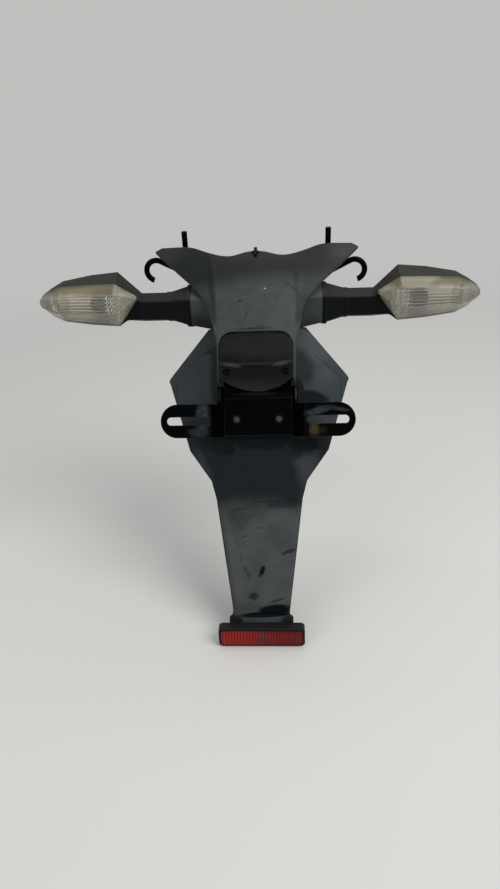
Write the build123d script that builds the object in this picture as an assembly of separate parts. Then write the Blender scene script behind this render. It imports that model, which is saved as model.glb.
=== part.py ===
from build123d import *
import os
from math import cos, hypot, radians, sin, tan

# Tail tidy of a motorbike: cover, inner fender, mud flap, plate bracket, plate lamp, indicators, reflector.
# Frame: +X to the right seen from behind the bike, +Y forwards, +Z up, millimetres.
# The origin is on the top face of the steel stay, half way between its two locating pins.

# Moulded walls, sheet steel and clearances
WALL = 2.8
SHEET = 2.0
FIT = 0.3
EDGE_ROUND = 3.0

# Number plate plane: it leans forwards at the top, and its middle is the middle of the plate bracket
PLATE_LEAN = 30.0
PLATE_DROP = 146.5
PLATE_SETBACK = 104.0

# Mud flap, heights along the plate plane and half widths across it
FLAP_TOP = 98.0
FLAP_SHOULDER = 44.5
FLAP_HIP = -31.0
FLAP_WAIST = -63.0
FLAP_BEND = -82.0
TAIL_LENGTH = 124.5
TAIL_BEND = 8.0
FLAP_TOP_HALF = 51.5
FLAP_SHOULDER_HALF = 97.0
FLAP_HIP_HALF = 74.0
FLAP_WAIST_HALF = 50.5
FLAP_BEND_HALF = 45.5
TAIL_END_HALF = 30.5
SHOULDER_BLUNT = 3.5
PANEL_TOP_HALF = 33.0
PANEL_SHOULDER_HALF = 36.0
TAIL_STRIP = 5.0
WING_SWEEP = 18.0
TAIL_SWEEP = 50.0
RIM_DEPTH = 6.5
RIM_BEVEL = 2.4

# Plate bracket, pressed sheet
EAR_SPAN = 199.2
EAR_HEIGHT = 34.6
EAR_RISE = 18.0
SLOT_LENGTH = 43.2
SLOT_WIDTH = 8.3
SLOT_FROM_END = 28.0
PAN_WIDTH = 70.8
PAN_SIDE_RUN = 13.0
PAN_LIP = 5.0
PAN_TOP = 24.0
PAN_BOLT_SPACING = 43.8
PAN_BOLT_HEIGHT = 1.3
STRUT_SPAN = 84.0
STRUT_TOP = 36.0
WEB_TOP = 62.0

# Plate lamp, heights and depths in the plate plane
LAMP_HALF = 36.3
LAMP_TOP = 86.5
LAMP_TOP_DEPTH = 39.5
LAMP_RIDGE = 55.5
LAMP_RIDGE_DEPTH = 50.0
LAMP_SIDE_END = 41.5
LAMP_BOTTOM = 27.8
LAMP_BOTTOM_DEPTH = 43.5
LAMP_CORNER = 13.0
LAMP_BEVEL = 2.4
LAMP_WALL = 2.2
LAMP_BASE_THICK = 3.0
LAMP_BASE_HALF = 35.0
LAMP_LENS_THICK = 2.0
LAMP_SCREW_SPACING = 57.0
LAMP_SCREW_HEIGHT = 46.0
LAMP_SCREW_SUNK = 0.6
LAMP_BULB_HEIGHT = 60.0
LAMP_BULB_R = 5.0
LAMP_BULB_LENGTH = 21.0
LAMP_SOCKET_R = 7.0
LAMP_SOCKET_LENGTH = 15.0

# Upper cover sections: height, depth at the middle, half width and depth of the crease, then of the edge
COVER_STATIONS = (
    (188.0, 3.0, 51.0, 0.0, 114.0, -6.0),
    (166.0, 15.5, 46.5, 12.0, 100.0, -4.0),
    (142.0, 28.0, 43.0, 23.5, 76.0, 6.5),
    (118.0, 36.5, 40.5, 32.0, 54.0, 15.0),
    (94.0, 41.5, 39.2, 37.5, 44.0, 13.0),
    (64.0, 45.0, 38.6, 41.0, 40.8, 6.0),
    (36.0, 46.0, 37.6, 42.5, 39.8, 6.0),
)
COVER_END = 38.0
CHEEK_BACK = 8.0
HUMP_HEIGHT = 175.0
DIP_HALF = 26.5
DIP_HEIGHT = 169.8
BROW_HALF = 58.0
BROW_HEIGHT = 179.4
HORN_TIP_HALF = 108.0
HORN_TOP = 184.8
HORN_BLUNT = 8.0
HORN_ROUND = 1.5
COLLAR_NOTCH_HALF = 68.4
COLLAR_NOTCH_HEIGHT = 142.0
NECK_HALF = 51.3
NECK_HEIGHT = 121.7
CHEEK_HALF = 46.0
CHEEK_HEIGHT = 106.0
COVER_BOSS_SPACING = 52.0
COVER_BOSS_R = 4.5
COVER_BOSS_RISE = 6.0

# Inner fender: a hollow six-sided beam across the bike, its ends carry the indicators
BEAM_AXIS_Y = -31.5
BEAM_AXIS_Z = -44.7
BEAM_HALF_LENGTH = 68.5
BEAM_HALF_DEPTH = 22.5
BEAM_FACE_HALF = 14.0
BEAM_APEX = 22.5
BEAM_WALL = 3.0
BEAM_LIP = 12.0
GUSSET_DROP = 5.0
GUSSET_START = 44.6
GUSSET_END = 67.0
GUSSET_WALL = 1.6
TONGUE_HALF = 32.0
TONGUE_END = 60.0
TONGUE_SCREW_SPACING = 40.0
TONGUE_SCREW_HEIGHT = 80.0

# Rubber stalks, measured outwards from the middle of the bike
COLLAR_END = 72.5
TAPER_END = 90.0
RUBBER_STEP = 95.0
STALK_END = 122.0
COLLAR_PROUD = 0.7
TAPER_INSET = 0.8
STALK_HALF_DEPTH = 12.5
STALK_FACE_HALF = 9.7
STALK_APEX = 15.6
STALK_STEP = 0.7
STUD_R = 4.0
STUD_HEAD_R = 7.0
STUD_HEAD_THICK = 3.0
STUD_BORE_R = 2.5
STUD_NUT_FLATS = 13.0
STUD_NUT_HEIGHT = 6.0

# Indicators: place along the bike's width, lens bulge, lens bottom, low crease, high crease, lens top,
# housing depth and roof rise, from the stalk's axis
INDICATOR_STATIONS = (
    (147.0, 17.0, -16.4, 2.2, 23.0, 29.5, 38.0, 7.5),
    (175.0, 15.6, -14.0, 3.0, 22.3, 29.2, 33.0, 6.0),
    (205.0, 14.0, -9.6, 4.0, 20.4, 27.8, 26.0, 2.6),
    (217.0, 10.5, -3.2, 5.4, 17.6, 23.2, 16.0, 1.2),
    (225.0, 6.0, 4.0, 7.8, 15.2, 18.6, 8.0, 0.5),
    (228.4, 2.5, 8.4, 9.8, 13.4, 14.8, 3.0, 0.1),
)
NECK_LEVEL_END = 138.0
LENS_POINT = 125.6
LENS_POINT_HEIGHT = 14.0
LENS_POINT_HALF = 2.0
LENS_POINT_BULGE = 3.5
LENS_ROUND = 2.0
LENS_ROUND_SHARE = 0.33
HOUSING_ROUND_SHARE = 0.125
LENS_WALL = 2.0
HOUSING_WALL = 2.2
LINER_WALL = 1.0
ROOF_AT = 0.53
BACK_AT = 0.95
BACK_TOP_AT = 0.86
BACK_BOTTOM_AT = 0.28
WINDOW_RIM = 3.5
CAVITY_START = 125.0
LENS_CAVITY_START = 136.0
LINER_GAP = 1.5
SOLID_TIP = 214.0
BULB_Y = 3.5
BULB_Z = 5.0
HOLDER_R = 8.5
HOLDER_LENGTH = 18.0
BULB_R = 8.0
BULB_LENGTH = 34.0
LENS_SCREW_PLACE = 218.5
LENS_SCREW_HEIGHT = 9.5
LENS_SCREW_SEAT = 8.0
LENS_SCREW_GRIP = 5.0
LENS_SCREW_R = 1.6
LENS_SCREW_HEAD_R = 3.0

# Steel stay, pins and hooks
STAY_THICK = 3.0
STAY_LENGTH = 172.0
STAY_EDGE = 9.0
STAY_HEIGHT = 52.5
STAY_CORNER = 8.0
STAY_EAR_DROP = 10.0
STAY_WEB_HALF = 62.0
STAY_WEB_DROP = 36.0
STAY_NOTCH_HALF = 47.0
STAY_NOTCH_DEPTH = 14.0
STAY_HOLE_SPACING = 112.0
STAY_HOLE_R = 3.3
STAY_BOLT_SPACING = 72.0
STAY_BOLT_DROP = 42.5
ROD_R = 3.0
PIN_SPACING = 152.0
PIN_LENGTH = 26.5
PIN_CHAMFER = 0.5
HOOK_REACH_LEFT = 108.7
HOOK_REACH_RIGHT = 104.4
HOOK_DROP_LEFT = 13.5
HOOK_DROP_RIGHT = 18.0
HOOK_RADIUS = 11.0
HOOK_RISE_ANGLE = 27.0
HOOK_TURN = 188.0

# Edge clip at the middle of the cover's top edge
CLIP_WIDTH = 3.2
CLIP_BAR_WIDTH = 6.8
CLIP_BAR_HEIGHT = 2.4
CLIP_LEG = 8.0
CLIP_PROUD = 4.0
CLIP_THICK = 1.4

# Rear reflector, upright and level, on a pad at the end of the flap
REFLECTOR_WIDTH = 92.0
REFLECTOR_HEIGHT = 25.0
REFLECTOR_DEPTH = 10.0
REFLECTOR_CORNER = 5.0
REFLECTOR_RIM = 2.6
REFLECTOR_LENS_PROUD = 0.8
REFLECTOR_POCKET = 4.0
REFLECTOR_BELOW = 10.0
LEDGE_DEPTH = 7.4
PAD_RISE = 2.9
PAD_HALF = 34.0
PAD_CHAMFER = PAD_HALF - TAIL_END_HALF
REFLECTOR_STUD_R = 2.5
REFLECTOR_STUD_SUNK = 4.0
REFLECTOR_NUT_FLATS = 8.0
REFLECTOR_NUT_HEIGHT = 4.0

# Fasteners: M6 bolts and nuts, small screws
BOLT_R = 3.0
BOLT_HOLE_R = 3.3
BOLT_FLATS = 10.0
BOLT_HEAD = 4.0
NUT_HEIGHT = 5.0
BOLT_END = 3.0
SCREW_R = 1.9
SCREW_HEAD_R = 3.6
SCREW_HEAD = 2.2
SCREW_GRIP = 9.0

PLATE = Plane(
    origin=(0, -PLATE_SETBACK, -PLATE_DROP),
    x_dir=(1, 0, 0),
    z_dir=(0, -cos(radians(PLATE_LEAN)), sin(radians(PLATE_LEAN))),
)
UPWARDS = (Align.CENTER, Align.CENTER, Align.MIN)
DOWNWARDS = (Align.CENTER, Align.CENTER, Align.MAX)
HANGING = (Align.CENTER, Align.MAX, Align.MIN)
STANDING_OFF = (Align.CENTER, Align.MIN, Align.MAX)

# Directions in the bike's frame, and out of the plate plane in its own frame
UP, DOWN = (0, 0, 1), (0, 0, -1)
FORWARDS, BACKWARDS = (0, 1, 0), (0, -1, 0)
RIGHT = (1, 0, 0)
OUT, IN = (0, 0, 1), (0, 0, -1)

# Places that follow from the sizes above
TAIL_END = FLAP_BEND - TAIL_LENGTH * cos(radians(TAIL_BEND))
TAIL_END_DEPTH = -TAIL_LENGTH * sin(radians(TAIL_BEND))
TAIL_END_Y = PLATE.from_local_coords((0, TAIL_END, TAIL_END_DEPTH)).Y
TAIL_END_Z = PLATE.from_local_coords((0, TAIL_END, TAIL_END_DEPTH)).Z
PAD_FACE_Y = TAIL_END_Y - LEDGE_DEPTH
PAD_TOP_Z = TAIL_END_Z + PAD_RISE
REFLECTOR_TOP_Z = PAD_TOP_Z - REFLECTOR_BELOW
REFLECTOR_STUD_Z = REFLECTOR_TOP_Z - REFLECTOR_HEIGHT / 2
LAMP_BACK = SHEET + LAMP_BASE_THICK
LAMP_FACE_SLOPE = (LAMP_RIDGE_DEPTH - LAMP_BOTTOM_DEPTH) / (LAMP_RIDGE - LAMP_BOTTOM)
LAMP_SCREW_FACE = LAMP_RIDGE_DEPTH - LAMP_FACE_SLOPE * (LAMP_RIDGE - LAMP_SCREW_HEIGHT)
LAMP_SCREW_SEAT = LAMP_SCREW_FACE - SCREW_HEAD - LAMP_SCREW_SUNK
BEAM_FRONT_Y = BEAM_AXIS_Y - BEAM_HALF_DEPTH
BEAM_BACK_Y = BEAM_AXIS_Y + BEAM_HALF_DEPTH
COVER_BOSS_Z = BEAM_AXIS_Z + COVER_BOSS_RISE
STAY_BOLT_Z = -STAY_BOLT_DROP
LENS_PLANE = -STALK_HALF_DEPTH
LENS_SCREW_FOOT = (LENS_SCREW_PLACE, LENS_PLANE, LENS_SCREW_HEIGHT)
BULB_START = CAVITY_START + STUD_HEAD_THICK + HOLDER_LENGTH
LINER_START = BULB_START + LINER_GAP


def polygon(points):
    """Flat face inside a closed outline of straight sides."""
    return make_face(Polyline(*points, close=True))


def side(start, end):
    """Unit vector along one side of an outline."""
    length = hypot(end[0] - start[0], end[1] - start[1])
    return (end[0] - start[0]) / length, (end[1] - start[1]) / length


def inset(points, walls):
    """Anticlockwise outline with side i, from point i to the next one, moved inwards by walls[i]."""
    moved = []
    for i, point in enumerate(points):
        before = side(points[i - 1], point)
        after = side(point, points[(i + 1) % len(points)])
        turn = before[0] * after[1] - before[1] * after[0]
        step_x = (walls[i - 1] * after[0] - walls[i] * before[0]) / turn
        step_y = (walls[i - 1] * after[1] - walls[i] * before[1]) / turn
        moved.append((point[0] + step_x, point[1] + step_y))
    return moved


def between(first, second, share):
    """Outline part of the way from one outline to another with as many points."""
    return [(a[0] + (b[0] - a[0]) * share, a[1] + (b[1] - a[1]) * share) for a, b in zip(first, second)]


def across(points, x, rounding=0.0):
    """Section of a piece that runs across the bike, in the plane at x, with its corners rounded."""
    face = polygon(points)
    if rounding > 0:
        face = fillet(face.vertices(), rounding)
    return Plane.YZ.offset(x) * face


def rod(radius, start, direction, length):
    """Round bar from a start point along a direction."""
    return Plane(origin=start, z_dir=direction) * Cylinder(radius, length, align=UPWARDS)


def hexagon_bar(flats, start, direction, length):
    """Six-sided bar from a start point along a direction."""
    face = RegularPolygon(flats / 2, 6, major_radius=False)
    return Plane(origin=start, z_dir=direction) * extrude(face, length)


def both_sides(piece):
    """A piece and its mirror image across the middle of the bike."""
    return Compound(children=[piece, mirror(piece, about=Plane.YZ)])


def bolt(start, direction, length):
    """M6 bolt whose head stands on the start point and whose shank runs along the direction."""
    back = tuple(-part for part in direction)
    return rod(BOLT_R, start, direction, length) + hexagon_bar(BOLT_FLATS, start, back, BOLT_HEAD)


def ring_nut(flats, shank_r, start, direction, height):
    """Six-sided nut with a clearance round its shank."""
    return hexagon_bar(flats, start, direction, height) - rod(shank_r + FIT / 2, start, direction, height)


def nut(start, direction):
    """M6 nut round a bolt's shank, on the start point."""
    return ring_nut(BOLT_FLATS, BOLT_R, start, direction, NUT_HEIGHT)


def screw(start, direction, length):
    """Small screw with a bevelled pan head that stands on the start point."""
    back = tuple(-part for part in direction)
    head = rod(SCREW_HEAD_R, start, back, SCREW_HEAD)
    head = chamfer(head.faces().sort_by(Axis(start, back))[-1].edges(), SCREW_HEAD / 3)
    return head + rod(SCREW_R, start, direction, length)


def hexagon_points(half_depth, face_half, apex):
    """Six-sided section, anticlockwise, with upright front and back faces and a peak above and below."""
    return [
        (-half_depth, -face_half),
        (0, -apex),
        (half_depth, -face_half),
        (half_depth, face_half),
        (0, apex),
        (-half_depth, face_half),
    ]


def beam_points(grow):
    """Section of the inner fender's beam about its axis, with each side moved outwards."""
    return inset(hexagon_points(BEAM_HALF_DEPTH, BEAM_FACE_HALF, BEAM_APEX), [-grow] * 6)


# Mud flap

def flap_section(height, depth, half, panel_half, sweep):
    """Section of the flap: flat middle panel, sides swept forwards, bevelled and folded rim."""
    edge = depth - (half - RIM_BEVEL - panel_half) * tan(radians(sweep))
    inner = half - WALL
    right = [
        (panel_half, depth),
        (half - RIM_BEVEL, edge),
        (half, edge - RIM_BEVEL),
        (half, edge - RIM_DEPTH),
        (inner, edge - RIM_DEPTH),
        (inner, edge - WALL),
        (panel_half, depth - WALL),
    ]
    left = [(-x, w) for x, w in reversed(right)]
    return polygon([(x, height, w) for x, w in right + left])


def make_reflector_pad():
    """Upright pad at the end of the flap, chamfered above, and the level ledge that carries it."""
    bottom = REFLECTOR_TOP_Z - REFLECTOR_HEIGHT + REFLECTOR_CORNER
    shoulder = PAD_HALF - PAD_CHAMFER
    outline = polygon([
        (PAD_HALF, bottom),
        (PAD_HALF, PAD_TOP_Z - PAD_CHAMFER),
        (shoulder, PAD_TOP_Z),
        (-shoulder, PAD_TOP_Z),
        (-PAD_HALF, PAD_TOP_Z - PAD_CHAMFER),
        (-PAD_HALF, bottom),
    ])
    plate = Plane(origin=(0, PAD_FACE_Y, 0), z_dir=(0, -1, 0), x_dir=(1, 0, 0)) * extrude(outline, -WALL)
    ledge = Box(2 * shoulder, LEDGE_DEPTH + WALL, WALL, align=STANDING_OFF)
    ledge = Pos(0, PAD_FACE_Y, PAD_TOP_Z) * ledge
    hole = rod(REFLECTOR_STUD_R + FIT / 2, (0, PAD_FACE_Y, REFLECTOR_STUD_Z), FORWARDS, WALL)
    return plate + ledge - hole


def make_mud_flap():
    shoulder_half = FLAP_SHOULDER_HALF - SHOULDER_BLUNT / 2
    stations = (
        (FLAP_TOP, FLAP_TOP_HALF, PANEL_TOP_HALF),
        (FLAP_SHOULDER + SHOULDER_BLUNT, shoulder_half, PANEL_SHOULDER_HALF),
        (FLAP_SHOULDER, FLAP_SHOULDER_HALF, PANEL_SHOULDER_HALF),
        (FLAP_SHOULDER - SHOULDER_BLUNT, shoulder_half, PANEL_SHOULDER_HALF),
        (FLAP_HIP, FLAP_HIP_HALF, PANEL_SHOULDER_HALF),
    )
    tail = (
        (FLAP_WAIST, 0, FLAP_WAIST_HALF),
        (FLAP_BEND, 0, FLAP_BEND_HALF),
        (TAIL_END, TAIL_END_DEPTH, TAIL_END_HALF),
    )
    sections = [flap_section(height, 0, half, panel, WING_SWEEP) for height, half, panel in stations]
    for height, depth, half in tail:
        sections.append(flap_section(height, depth, half, half - TAIL_STRIP, TAIL_SWEEP))
    flap = loft(sections, ruled=True)
    for x in (-PAN_BOLT_SPACING / 2, PAN_BOLT_SPACING / 2):
        flap -= rod(BOLT_HOLE_R, (x, PAN_BOLT_HEIGHT, -WALL), OUT, WALL)
    for x in (-TONGUE_SCREW_SPACING / 2, TONGUE_SCREW_SPACING / 2):
        flap -= rod(SCREW_R + FIT, (x, TONGUE_SCREW_HEIGHT, -WALL), OUT, WALL)
    return PLATE * flap + make_reflector_pad()


# Number plate bracket

def make_plate_bracket():
    """Pressed pan on the flap, sloping sides up to two slotted ears, and a web up behind the lamp."""
    ear_half = EAR_SPAN / 2
    pan_half = PAN_WIDTH / 2
    ear_start = pan_half + PAN_SIDE_RUN
    right = [(pan_half, 0), (ear_start, EAR_RISE - SHEET), (ear_half, EAR_RISE - SHEET)]
    lower = [(-x, w) for x, w in reversed(right)] + right
    upper = [(x, w + SHEET) for x, w in reversed(lower)]
    section = polygon([(x, -EAR_HEIGHT / 2, w) for x, w in lower + upper])
    pressing = extrude(section, EAR_HEIGHT / 2 + WEB_TOP, dir=(0, 1, 0))
    outline = SlotOverall(EAR_SPAN, EAR_HEIGHT)
    outline += Pos(0, STRUT_TOP / 2) * Rectangle(STRUT_SPAN, STRUT_TOP)
    outline += Pos(0, WEB_TOP / 2) * Rectangle(PAN_WIDTH, WEB_TOP)
    pressing &= extrude(outline, EAR_RISE)
    slot = extrude(SlotOverall(SLOT_LENGTH, SLOT_WIDTH), EAR_RISE)
    lip = Box(PAN_WIDTH, SHEET, PAN_LIP, align=UPWARDS)
    pressing += Pos(0, (SHEET - EAR_HEIGHT) / 2, 0) * lip
    pressing += Pos(0, PAN_TOP, 0) * lip
    for side_of in (-1, 1):
        pressing -= Pos(side_of * (ear_half - SLOT_FROM_END), 0, 0) * slot
        pressing -= rod(BOLT_HOLE_R, (side_of * PAN_BOLT_SPACING / 2, PAN_BOLT_HEIGHT, 0), OUT, SHEET)
    return PLATE * pressing


def make_bracket_bolts():
    length = WALL + SHEET + NUT_HEIGHT + BOLT_END
    return PLATE * both_sides(bolt((PAN_BOLT_SPACING / 2, PAN_BOLT_HEIGHT, -WALL), OUT, length))


def make_bracket_nuts():
    return PLATE * both_sides(nut((PAN_BOLT_SPACING / 2, PAN_BOLT_HEIGHT, SHEET), OUT))


# Plate lamp

def lamp_outline(grow, bottom):
    """Lamp seen along the plate's normal: rounded upper corners, bowed lower edge down to bottom."""
    half = LAMP_HALF + grow
    top = LAMP_TOP + grow
    sides = Polyline((half, LAMP_SIDE_END), (half, top), (-half, top), (-half, LAMP_SIDE_END))
    face = make_face([sides, ThreePointArc((-half, LAMP_SIDE_END), (0, bottom), (half, LAMP_SIDE_END))])
    return fillet(face.vertices().sort_by(Axis.Y)[-2:], LAMP_CORNER + grow)


def lamp_depth(grow):
    """Lamp seen from the side, as a bar across it: sloped roof, ridge, front face leaning in below it."""
    low = LAMP_BOTTOM - LAMP_RIDGE
    face = polygon([
        (LAMP_TOP + LAMP_WALL, LAMP_BACK),
        (LAMP_TOP + LAMP_WALL, LAMP_TOP_DEPTH + grow),
        (LAMP_RIDGE, LAMP_RIDGE_DEPTH + grow),
        (LAMP_RIDGE + 2 * low, LAMP_RIDGE_DEPTH + 2 * low * LAMP_FACE_SLOPE + grow),
        (LAMP_RIDGE + 2 * low, LAMP_BACK),
    ])
    ridge = face.vertices().sort_by(Axis.Y)[-1]
    return extrude(Plane.YZ * fillet(ridge, EDGE_ROUND + WALL + grow), LAMP_HALF, both=True)


def make_lamp_housing():
    """Hood and rear face in one bevelled shell, open behind and below, with two screw pillars."""
    housing = extrude(lamp_outline(0, LAMP_BOTTOM), LAMP_RIDGE_DEPTH) & lamp_depth(0)
    rim = [edge for edge in housing.edges() if edge.bounding_box().min.Z > LAMP_TOP_DEPTH - LAMP_CORNER]
    rim = [edge for edge in rim if edge.bounding_box().size.X < LAMP_HALF]
    housing = chamfer(rim, LAMP_BEVEL)
    deep = LAMP_BOTTOM - LAMP_HALF
    inside = extrude(lamp_outline(-LAMP_WALL, deep), LAMP_RIDGE_DEPTH) & lamp_depth(-LAMP_WALL)
    inner_width = 2 * (LAMP_HALF - LAMP_WALL)
    mouth = Pos(0, LAMP_SIDE_END, 0) * Box(inner_width, LAMP_HALF, LAMP_RIDGE_DEPTH, align=UPWARDS)
    housing -= inside + (mouth & lamp_depth(-LAMP_WALL))
    for x in (-LAMP_SCREW_SPACING / 2, LAMP_SCREW_SPACING / 2):
        foot = (x, LAMP_SCREW_HEIGHT, LAMP_BACK)
        seat = (x, LAMP_SCREW_HEIGHT, LAMP_SCREW_SEAT)
        pillar = rod(SCREW_HEAD_R, foot, OUT, LAMP_RIDGE_DEPTH) & lamp_depth(0)
        housing += pillar
        housing -= rod(SCREW_R + FIT, foot, OUT, LAMP_RIDGE_DEPTH)
        housing -= rod(SCREW_HEAD_R + FIT, seat, OUT, LAMP_RIDGE_DEPTH)
    return PLATE * housing


def make_lamp_base():
    """Plate behind the lamp, on the bracket's web."""
    height = WEB_TOP - LAMP_SIDE_END
    face = Pos(0, LAMP_SIDE_END + height / 2) * RectangleRounded(2 * LAMP_BASE_HALF, height, EDGE_ROUND)
    base = Pos(0, 0, SHEET) * extrude(face, LAMP_BASE_THICK)
    for x in (-LAMP_SCREW_SPACING / 2, LAMP_SCREW_SPACING / 2):
        base -= rod(SCREW_R, (x, LAMP_SCREW_HEIGHT, SHEET), OUT, LAMP_BASE_THICK)
    return PLATE * base


def make_lamp_lens():
    """Clear bowed strip that closes the lamp's lower side."""
    gap = LAMP_WALL + FIT
    low = LAMP_BOTTOM + gap
    outer = extrude(lamp_outline(-gap, low), LAMP_RIDGE_DEPTH)
    upper = Pos(0, LAMP_LENS_THICK, 0) * extrude(lamp_outline(0, low), LAMP_RIDGE_DEPTH)
    return PLATE * ((outer - upper) & lamp_depth(-gap))


def make_lamp_screws():
    start = (LAMP_SCREW_SPACING / 2, LAMP_SCREW_HEIGHT, LAMP_SCREW_SEAT)
    return PLATE * both_sides(screw(start, IN, LAMP_SCREW_SEAT - SHEET))


def make_lamp_socket():
    socket = rod(LAMP_SOCKET_R, (0, LAMP_BULB_HEIGHT, LAMP_BACK), OUT, LAMP_SOCKET_LENGTH)
    return PLATE * chamfer(socket.faces().sort_by(Axis.Z)[-1].edges(), LAMP_WALL / 2)


def make_lamp_bulb():
    bulb = rod(LAMP_BULB_R, (0, LAMP_BULB_HEIGHT, LAMP_BACK + LAMP_SOCKET_LENGTH), OUT, LAMP_BULB_LENGTH)
    return PLATE * fillet(bulb.faces().sort_by(Axis.Z)[-1].edges(), LAMP_BULB_R - FIT)


# Upper cover

def cover_line(station, depth):
    """Bowed middle and two straight wings of one section of the cover, at a depth below its outer face."""
    height, middle, crease_half, crease, edge_half, edge = station
    along = side((crease_half, crease), (edge_half, edge))
    inwards = (along[1], -along[0])
    slide = -depth * (1 + inwards[1]) / along[1]
    corner_half = crease_half + depth * inwards[0] + slide * along[0]
    end_half = edge_half + depth * inwards[0]
    end = edge + depth * inwards[1]
    left_end, left_corner = (-end_half, height, end), (-corner_half, height, crease - depth)
    right_corner, right_end = (corner_half, height, crease - depth), (end_half, height, end)
    bow = ThreePointArc(left_corner, (0, height, middle - depth), right_corner)
    return left_end, right_end, [Line(left_end, left_corner), bow, Line(right_corner, right_end)]


def shell_section(station):
    """Section of the cover's wall."""
    left, right, outer = cover_line(station, 0)
    inner_left, inner_right, inner = cover_line(station, WALL)
    return make_face(outer + [Line(right, inner_right), *inner, Line(inner_left, left)])


def core_section(station):
    """Section of all that lies behind the middle of the cover's wall."""
    left, right, middle = cover_line(station, WALL / 2)
    return make_face(middle + [Line(right, left)])


def cover_outline():
    """Cover seen along the plate's normal: waved top edge, horns, notch over the stalks, neck."""
    wave = Spline(
        (0, HUMP_HEIGHT),
        (DIP_HALF, DIP_HEIGHT),
        (BROW_HALF, BROW_HEIGHT),
        (HORN_TIP_HALF - HORN_BLUNT, HORN_TOP),
        tangents=((1, 0), (1, 0)),
    )
    tip = (HORN_TIP_HALF, HORN_TOP - HORN_BLUNT / 2)
    lower = Polyline(
        (HORN_TIP_HALF - HORN_BLUNT, HORN_TOP),
        tip,
        (HORN_TIP_HALF - HORN_BLUNT / 2, HORN_TOP - HORN_BLUNT),
        (COLLAR_NOTCH_HALF, COLLAR_NOTCH_HEIGHT),
        (NECK_HALF, NECK_HEIGHT),
        (CHEEK_HALF, CHEEK_HEIGHT),
        (COLLAR_NOTCH_HALF, CHEEK_HEIGHT),
        (COLLAR_NOTCH_HALF, COVER_END),
        (0, COVER_END),
        (0, HUMP_HEIGHT),
    )
    half = make_face([wave, lower])
    half = fillet(half.vertices().sort_by_distance((*tip, 0))[0], HORN_ROUND)
    return half + mirror(half, about=Plane.YZ)


def make_cover():
    """Moulded shell with a mouth for the lamp, seated and screwed on the inner fender."""
    shell = loft([shell_section(station) for station in COVER_STATIONS])
    deepest = 2 * LAMP_RIDGE_DEPTH
    shell &= Pos(0, 0, -deepest / 2) * extrude(cover_outline(), 2 * deepest)
    mouth = lamp_outline(FIT, LAMP_BOTTOM - LAMP_HALF)
    shell -= extrude(mouth, deepest)
    behind = Box(2 * EAR_SPAN, 2 * LAMP_TOP, deepest, align=DOWNWARDS)
    shell -= Pos(0, 0, CHEEK_BACK) * behind
    cover = PLATE * shell
    seat = extrude(Plane.YZ * polygon(beam_points(FIT)), 2 * BEAM_HALF_LENGTH, both=True)
    cover -= Pos(0, BEAM_AXIS_Y, BEAM_AXIS_Z) * seat
    core = PLATE * loft([core_section(station) for station in COVER_STATIONS])
    for x in (-COVER_BOSS_SPACING / 2, COVER_BOSS_SPACING / 2):
        foot = (x, BEAM_FRONT_Y, COVER_BOSS_Z)
        post = rod(COVER_BOSS_R, foot, BACKWARDS, PLATE_SETBACK) & core
        post += rod(COVER_BOSS_R, foot, BACKWARDS, SCREW_GRIP)
        cover += post - rod(SCREW_R, foot, BACKWARDS, SCREW_GRIP)
    return cover


def make_cover_screws():
    start = (COVER_BOSS_SPACING / 2, BEAM_FRONT_Y + BEAM_WALL, COVER_BOSS_Z)
    return both_sides(screw(start, BACKWARDS, BEAM_WALL + SCREW_GRIP))


def make_edge_clip(cover):
    """Small sprung clip pushed over the middle of the cover's top edge."""
    above, below = COVER_STATIONS[0], COVER_STATIONS[1]
    slope = (above[1] - below[1]) / (above[0] - below[0])
    depth = below[1] + slope * (HUMP_HEIGHT - below[0])
    seat = PLATE * Plane(origin=(0, HUMP_HEIGHT, depth), x_dir=(1, 0, 0), z_dir=(0, -slope, 1))
    front = FIT + CLIP_THICK
    back = WALL + FIT + CLIP_THICK
    legs = Box(CLIP_WIDTH, CLIP_LEG + CLIP_PROUD, front + back, align=HANGING)
    legs = Pos(0, CLIP_PROUD, -back) * legs
    legs = fillet(legs.edges().filter_by(Axis.X), CLIP_THICK / 2)
    bar = Pos(0, -CLIP_BAR_HEIGHT, 0) * Box(CLIP_BAR_WIDTH, CLIP_BAR_HEIGHT, front, align=UPWARDS)
    slot = Box(2 * CLIP_BAR_WIDTH, CLIP_LEG + CLIP_PROUD, WALL + 2 * FIT, align=HANGING)
    slot = Pos(0, CLIP_PROUD - CLIP_THICK, -WALL - FIT) * slot
    return seat * (legs + bar - slot) - cover


# Inner fender

def make_gussets():
    """Two triangular webs under the beam's front face, deepest towards the middle of the bike."""
    root = EDGE_ROUND - BEAM_FACE_HALF
    low = -BEAM_FACE_HALF - GUSSET_DROP
    outline = polygon([
        (GUSSET_START, root),
        (GUSSET_START, low),
        (GUSSET_END, -BEAM_FACE_HALF),
        (GUSSET_END, root),
    ])
    front = Plane(origin=(0, -BEAM_HALF_DEPTH, 0), x_dir=RIGHT, z_dir=BACKWARDS)
    return both_sides(front * extrude(outline, -GUSSET_WALL))


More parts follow.
